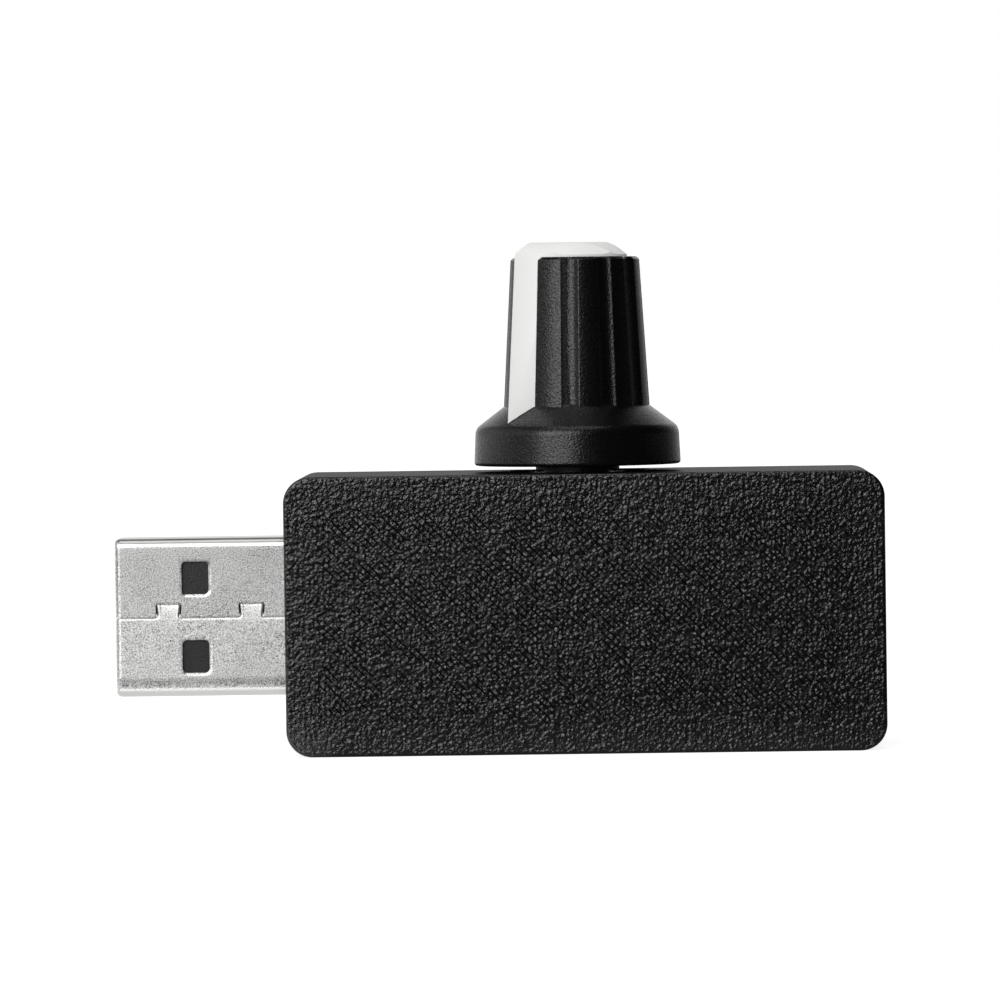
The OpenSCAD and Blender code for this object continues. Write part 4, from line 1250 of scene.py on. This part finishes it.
@dataclass
class PlugShell:
    """The plug's folded sheet: rolled edges at its windows and seam, and faces that curve into the bends."""

    tip_x: float = -35.6
    end_x: float = -16.5
    fine_end_x: float = -22.2
    coarse_x: Pair = (-21.8, -19.5)
    mid_z: float = 10.38
    half_w: float = 6.0
    half_t: float = 2.25
    bend_r: float = 0.65
    bend_steps: Tuple[int, int, int, int] = (12, 7, 7, 12)
    rear_steps: int = 25
    tip_r: float = 0.42
    tip_steps: int = 4
    grid: float = 0.06
    window_x: float = -29.515
    window_z: float = 2.975
    window_half: Pair = (1.025, 1.25)
    window_r: float = 0.35
    window_roll: Pair = (0.22, 0.07)
    least_roll: float = 0.1
    seam_roll: Pair = (0.2, 0.1)
    upper_roll: Pair = (0.06, 0.015)
    tab_first: float = 4.05
    tab_pitch: float = 6.3
    tab_half: float = 0.95
    tab_h: float = 1.05
    tab_undercut: float = 0.1
    tab_r: float = 0.22
    tab_bend_steps: int = 4
    tab_inset: float = 0.04
    tab_below: float = 0.05
    tab_lean: float = 0.072
    lean_from: float = -0.6
    lean_reach: float = 1.6
    sheet: float = 0.25
    backing_inset: float = 0.3
    backing_half: float = 0.25
    crown: Pair = (0.07, 0.004)
    crown_from: Pair = (4.5, 5.0)
    valley: Pair = (0.06, 0.02)

    def __post_init__(self) -> None:
        """Works out the flat part's reach and the tabs' places."""
        self.flat_z = self.half_w - self.bend_r
        self.tab_x = [self.tip_x + self.tab_first + number * self.tab_pitch for number in range(2)]

    def bend(self, start: np.ndarray, corner: np.ndarray, stop: np.ndarray) -> np.ndarray:
        """Points of a bend from one point towards a corner and on to another point."""
        share = np.linspace(0, 1, self.tab_bend_steps + 1)[:, None]
        return (1 - share) ** 2 * start + 2 * share * (1 - share) * corner + share ** 2 * stop

    def seam_line(self) -> np.ndarray:
        """The seam with its two tabs.

        Returns:
            X, and Z from the plug's middle, of each point from the tip to the rear.
        """
        foot = np.array([self.tab_half - self.tab_undercut, 0.0])
        head = np.array([self.tab_half, self.tab_h])
        rise = self.tab_r * (head - foot) / self.tab_h
        out = np.array([self.tab_r, 0.0])
        right = np.concatenate([self.bend(foot + out, foot, foot + rise),
                                self.bend(head - rise, head, head - out)])
        tab = np.concatenate([right * (-1.0, 1.0), right[::-1]])
        tabs = [tab + (x, 0.0) for x in self.tab_x]
        return np.concatenate([[[self.tip_x - 1.0, 0.0]], *tabs, [[self.end_x + 1.0, 0.0]]])

    @staticmethod
    def distance(points: np.ndarray, line: np.ndarray) -> np.ndarray:
        """Distance of points from a line of straight steps.

        Args:
            points: One row for each point.
            line: The line's points in order.

        Returns:
            The distance of each point.
        """
        nearest = np.full(len(points), np.inf)
        for start, stop in zip(line[:-1], line[1:]):
            run = stop - start
            share = np.clip((points - start) @ run / max(run @ run, TINY), 0.0, 1.0)
            away = points - start - share[:, None] * run
            nearest = np.minimum(nearest, np.linalg.norm(away, axis=1))
        return nearest

    @staticmethod
    def roll(distance: np.ndarray, size: Pair) -> np.ndarray:
        """How far a rolled edge drops at a distance from it, from its width and depth."""
        width, depth = size
        return depth * np.clip(1 - distance / width, 0.0, 1.0) ** 2

    def window_sink(self, from_mid: np.ndarray) -> np.ndarray:
        """How deep the face lies round a window, whose edge is rolled most at its lower right.

        Args:
            from_mid: X and Z of points, from the window's middle.

        Returns:
            The depth at each point.
        """
        across = np.abs(from_mid) - np.array(self.window_half) + self.window_r
        outside = np.linalg.norm(np.maximum(across, 0.0), axis=1) + np.minimum(across.max(axis=1), 0.0)
        toward = np.sign(from_mid) * np.maximum(across, 0.0)
        toward = toward / np.maximum(np.linalg.norm(toward, axis=1), TINY)[:, None]
        punched = np.clip(0.5 + toward @ np.array([1.0, -1.0]), self.least_roll, 1.0)
        return punched * self.roll(np.maximum(outside - self.window_r, 0.0), self.window_roll)

    def sink(self, x: np.ndarray, z: np.ndarray) -> np.ndarray:
        """How deep the front face lies at points of it.

        Args:
            x: Places along the plug.
            z: Heights from the plug's middle.

        Returns:
            The depth below the flat face.
        """
        points = np.stack([x, z], axis=1)
        from_seam = self.distance(points, self.seam_line())
        lower = z < 0
        lean = np.zeros(len(x))
        rise = np.clip((z - self.lean_from) / (self.tab_h - self.lean_from), 0.0, 1.0)
        for middle in self.tab_x:
            beside = np.abs(x - middle)
            lower |= (beside < self.tab_half - self.tab_inset) & (z < self.tab_h) & (z > -self.tab_below)
            near = np.clip(self.lean_reach - beside / self.tab_half, 0.0, 1.0)
            lean = np.maximum(lean, self.tab_lean * rise ** 2 * near)
        rolled = self.roll(from_seam, self.seam_roll) + lean
        depth = np.where(lower, rolled, self.roll(from_seam, self.upper_roll))
        for sign in (-1.0, 1.0):
            depth = depth + self.window_sink(points - (self.window_x, sign * self.window_z))
        out = np.clip(np.abs(z) / self.flat_z, 0.0, 1.0)
        low_valley, high_valley = self.valley
        depth = depth + np.where(lower, low_valley * (1.0 - out), high_valley * (1.0 - out ** 2))
        for sign, crown, begin in zip((-1.0, 1.0), self.crown, self.crown_from):
            depth = depth + crown * np.clip((sign * z - begin) / (self.flat_z - begin), 0.0, 1.0) ** 2
        return depth

    def backing(self) -> bpy.types.Mesh:
        """Strips of the sheet that close the seam, but for the tabs' sides, at the bottom of its groove.

        Returns:
            The mesh.
        """
        reach = self.tab_half - self.tab_r
        strips = [(self.tip_x + self.backing_inset, self.end_x, 0.0)]
        strips += [(x - reach, x + reach, self.tab_h) for x in self.tab_x]
        corners = np.array([[x, y, z] for x in (0, 1) for y in (0, 1) for z in (0, 1)])
        box = np.array([(0, 1, 3, 2), (4, 6, 7, 5), (0, 4, 5, 1), (2, 3, 7, 6), (0, 2, 6, 4), (1, 5, 7, 3)])
        points, faces = [], []
        for number, (start, stop, z) in enumerate(strips):
            low = np.array([start, -self.half_t, self.mid_z + z - self.backing_half])
            size = np.array([stop - start, self.sheet, 2 * self.backing_half])
            points.append(low + corners * size)
            faces += (box + len(corners) * number).tolist()
        return outward_mesh(mesh_from("seam_backing", np.concatenate(points), faces))

    def section(self) -> np.ndarray:
        """The plug's section as a closed loop, from the lower end of its front face.

        Returns:
            Y and Z of each point, and its direction outwards.
        """
        y, z = self.half_t - self.bend_r, self.flat_z
        front = np.linspace(-z, z, int(2 * z / self.grid) + 1)
        rear = np.linspace(z, -z, self.rear_steps + 1)
        loop = [(-self.half_t, place, -1.0, 0.0) for place in front[:-1]]
        middles = ((-y, z), (y, z), (y, -z), (-y, -z))
        for number, (middle, steps) in enumerate(zip(middles, self.bend_steps)):
            start = math.pi - number * QUARTER
            way = arc((0.0, 0.0), 1.0, start, start - QUARTER, steps + 1)
            loop += np.hstack([middle + self.bend_r * way, way]).tolist()
            if number == 1:
                loop += [(self.half_t, place, 1.0, 0.0) for place in rear[1:-1]]
        return np.array(loop[:-1])

    def form(self) -> bpy.types.Mesh:
        """The sheet's outer form as a closed block.

        Returns:
            The mesh.
        """
        loop = self.section()
        flat_y, flat_z, out_y, out_z = loop.T
        in_front = out_y < 0
        in_face = in_front & (np.abs(flat_z) <= self.flat_z + TINY)
        crown = np.where(flat_z < 0, *self.crown) * -out_y
        skin = np.where(np.abs(out_y * out_z) > TINY, ROUND_SKIN, FLAT_SKIN)
        tip_x = self.tip_x + FLAT_SKIN
        places = [(tip_x + self.tip_r * (1 - math.sin(turn)), self.tip_r * (1 - math.cos(turn)))
                  for turn in np.linspace(QUARTER, 0, self.tip_steps + 1)]
        fine = np.arange(places[-1][0] + self.grid, self.fine_end_x, self.grid)
        places += [(x, 0.0) for x in (*fine, *self.coarse_x, self.end_x)]
        points = []
        for x, inset in places:
            along = np.full(len(loop), x)
            sink = np.where(in_front & ~in_face, crown, in_face * self.sink(along, flat_z))
            y = flat_y - out_y * (inset + skin) + sink
            z = flat_z - out_z * (inset + skin)
            points.append(np.stack([along, y, z + self.mid_z], axis=1))
        rings = np.arange(len(places) * len(loop)).reshape(-1, len(loop))
        faces = tube_faces(rings) + [rings[0, ::-1].tolist(), rings[-1].tolist()]
        return outward_mesh(mesh_from("plug_form", np.concatenate(points), faces))


@dataclass
class Connectors:
    """The stamped plug and socket with their carriers and contacts."""

    sheet_edge: float = 0.07
    carrier_edge: float = 0.12
    crisp_angle: float = 38.0

    def build(self) -> None:
        """Makes and places both connectors."""
        shell = PlugShell()
        sheet = combined(shell.backing(), merged_copy("usb_plug_shell"), "UNION")
        plug = combined(shell.form(), sheet)
        add_piece("usb_plug_shell_stamped", plug, Body.CASE, "usb_plug_shell", NICKEL, self.crisp_angle)
        socket = softened_copy("usb_socket_shell", self.sheet_edge)
        add_piece("usb_socket_shell_stamped", socket, Body.CASE, "usb_socket_shell", NICKEL)
        for node, finish in (("usb_plug_carrier", CARRIER_BLACK), ("usb_socket_carrier", CARRIER_WHITE)):
            add_piece(node + "_moulded", softened_copy(node, self.carrier_edge), Body.CASE, node, finish)
        dress("usb_plug_contacts", GOLD)
        dress("usb_socket_contacts", GOLD)


@dataclass
class Circuit:
    """The board inside the case, with the potentiometer and the small parts on it."""

    finishes: Tuple[Tuple[str, Finish], ...] = (
        ("circuit_board", BOARD_GREEN), ("pot_frame", PLATED_STEEL), ("pot_bushing", PLATED_STEEL),
        ("pot_housing", CARRIER_BLACK), ("pot_wafer", PHENOLIC), ("pot_track", CARBON),
        ("pot_terminals", TINNED), ("control_chip", CHIP_BLACK), ("power_transistor", CHIP_BLACK),
        ("flyback_diode", CHIP_BLACK), ("filter_capacitor", ALUMINIUM), ("ceramic_capacitors", CERAMIC),
        ("resistors", CHIP_BLACK))

    def build(self) -> None:
        """Gives each part its finish."""
        for node, finish in self.finishes:
            dress(node, finish)


@dataclass(frozen=True)
class Softbox:
    """A lamp that looks at the object.

    Its azimuth is counted from the front, in degrees to the right, and its radiance is how bright it
    looks, where 1 is white.
    """

    name: str
    azimuth: float
    elevation: float
    reach: float
    size: Pair
    radiance: float

    def add(self, target: Vector) -> None:
        """Puts the lamp into the scene.

        Args:
            target: The point that it looks at, in metres.
        """
        width, height = (side * MM for side in self.size)
        data = bpy.data.lights.new(self.name, "AREA")
        data.shape = "RECTANGLE"
        data.size, data.size_y = width, height
        data.energy = self.radiance * math.pi * width * height
        lamp = linked(self.name, data)
        turn, rise = math.radians(self.azimuth), math.radians(self.elevation)
        away = Vector((math.sin(turn) * math.cos(rise), -math.cos(turn) * math.cos(rise), math.sin(rise)))
        lamp.location = target + away * self.reach * MM
        lamp.rotation_euler = (-away).to_track_quat("-Z", "Y").to_euler()


@dataclass
class Studio:
    """The floor, the lamps, the surroundings and the camera.

    Each band is where a soft step begins and ends: on the floor in millimetres, and in the surroundings
    along a direction of length one.
    """

    camera_at: Tuple[float, float, float] = (2.0, -500.0, 33.2)
    yaw: float = -0.96
    pitch: float = -1.64
    roll: float = 0.8
    focal_px: float = 6588
    frame_px: float = 1000.0
    sensor: float = 36.0
    clip: Pair = (10.0, 20000.0)
    target: Tuple[float, float, float] = (-4.0, 0.0, 18.0)
    lamps: Tuple[Softbox, ...] = (
        Softbox("key_softbox", -23.6, 21.0, 1000.0, (730.0, 730.0), 3.5),
        Softbox("top_softbox", -10.0, 76.0, 500.0, (340.0, 260.0), 1.3))
    floor_half: float = 4000.0
    floor_tone: float = 0.5
    floor_grain: float = 0.02
    floor_cloud: float = 0.06
    floor_glow: float = 0.8
    floor_bounce: float = 0.8
    table_edge: float = -15.0
    near_band: Pair = (-2.0, 2.0)
    under_band: Pair = (3.0, 7.0)
    plug_x: float = -18.0
    plug_band: Pair = (0.0, 6.0)
    far_mirror: float = 0.03
    near_mirror: float = 0.15
    plug_mirror: float = 1.65
    ambient: float = 0.52
    front_level: float = 0.01
    left_level: float = 0.7
    left_band: Pair = (0.35, 0.95)
    rear_band: Pair = (0.45, 1.0)
    rear_width: Pair = (0.2, 0.6)
    rear_fall: float = 0.65

    def aim_camera(self) -> None:
        """Sets the camera where the photograph was taken from."""
        yaw, pitch, roll = (math.radians(angle) for angle in (self.yaw, self.pitch, self.roll))
        forward = Vector((math.sin(yaw) * math.cos(pitch), math.cos(yaw) * math.cos(pitch), math.sin(pitch)))
        right = Vector((math.cos(yaw), -math.sin(yaw), 0.0))
        up = right.cross(forward)
        side = math.cos(roll) * right - math.sin(roll) * up
        top = math.sin(roll) * right + math.cos(roll) * up
        data = bpy.data.cameras.new("photo_camera")
        data.sensor_width = self.sensor
        data.lens = self.focal_px / self.frame_px * self.sensor
        data.clip_start, data.clip_end = (place * MM for place in self.clip)
        camera = linked("photo_camera", data)
        turn = Matrix((side, top, -forward)).transposed().to_4x4()
        camera.matrix_world = Matrix.Translation(Vector(self.camera_at) * MM) @ turn
        bpy.context.scene.camera = camera

    def lay_floor(self) -> None:
        """Lays the pale floor, which glows to the camera so that it is white away from the shadow.

        Reflections see it dark, but for a strip beside the plug.
        """
        corners = self.floor_half * np.array([[-1, -1, 0], [1, -1, 0], [1, 1, 0], [-1, 1, 0]])
        mesh = mesh_from("floor", corners, [(0, 1, 2, 3)])
        material = bpy.data.materials.new("pale_floor")
        canvas = Canvas.blank(material)
        path = canvas.node("ShaderNodeLightPath")
        place = canvas.place()
        cloud = 1.0 + (canvas.noise(place, self.floor_grain) - 0.5) * self.floor_cloud
        sheet = canvas.node("ShaderNodeBsdfDiffuse", {"Color": canvas.scaled((self.floor_tone,) * 3, cloud)})
        glow = canvas.node("ShaderNodeEmission", {"Color": WHITE, "Strength": self.floor_glow})
        lit = canvas.node("ShaderNodeAddShader", {0: sheet, 1: glow})
        pale = canvas.node("ShaderNodeBsdfDiffuse", {"Color": (*(self.floor_bounce,) * 3, 1.0)})
        x, y, _ = canvas.axes(place)
        near = (y - self.table_edge).step(*self.near_band)
        under = (y - self.table_edge).step(*self.under_band)
        beside = (self.plug_x - x).step(*self.plug_band)
        level = self.far_mirror + near * (self.near_mirror + beside * (self.plug_mirror - under))
        mirrored = canvas.node("ShaderNodeEmission", {"Color": WHITE, "Strength": level})
        matt = canvas.node("ShaderNodeMixShader", {0: path.output("Is Glossy Ray"), 1: pale, 2: mirrored})
        mixed = canvas.node("ShaderNodeMixShader", {0: path, 1: matt, 2: lit})
        canvas.node("ShaderNodeOutputMaterial", {"Surface": mixed})
        mesh.materials.append(material)
        floor = linked("floor", mesh)

    def surround(self) -> None:
        """Makes the surroundings: white to the camera and behind, a dark room in front for reflections."""
        world = bpy.data.worlds.new("studio")
        bpy.context.scene.world = world
        canvas = Canvas.blank(world)
        path = canvas.node("ShaderNodeLightPath")
        glossy = path.output("Is Glossy Ray").maths("MAXIMUM", path.output("Is Transmission Ray"))
        x, y, _ = canvas.axes(canvas.node("ShaderNodeTexCoord"))
        behind = y.step(*self.rear_band) * (1.0 - abs(x).step(*self.rear_width) * self.rear_fall)
        beside = (0.0 - x).step(*self.left_band) * self.left_level
        room = behind + (1.0 - behind) * beside.maths("MAXIMUM", self.front_level)
        level = glossy * room + (1.0 - glossy) * self.ambient
        strength = path + (1.0 - path) * level
        background = canvas.node("ShaderNodeBackground", {"Color": WHITE, "Strength": strength})
        canvas.node("ShaderNodeOutputWorld", {"Surface": background})

    def build(self) -> None:
        """Sets up everything round the object."""
        bpy.context.scene.view_settings.view_transform = "Standard"
        self.aim_camera()
        self.lay_floor()
        self.surround()
        for lamp in self.lamps:
            lamp.add(Vector(self.target) * MM)


def main() -> None:
    """Builds the sub-assemblies in order, then the studio, and logs what it builds."""
    logging.basicConfig(level=logging.INFO, format="%(name)s: %(message)s")
    for part in (PrintedCase(), ControlKnob(), Connectors(), Circuit(), Studio()):
        log.info("building %s", type(part).__name__)
        part.build()


if __name__ == "__main__":
    main()
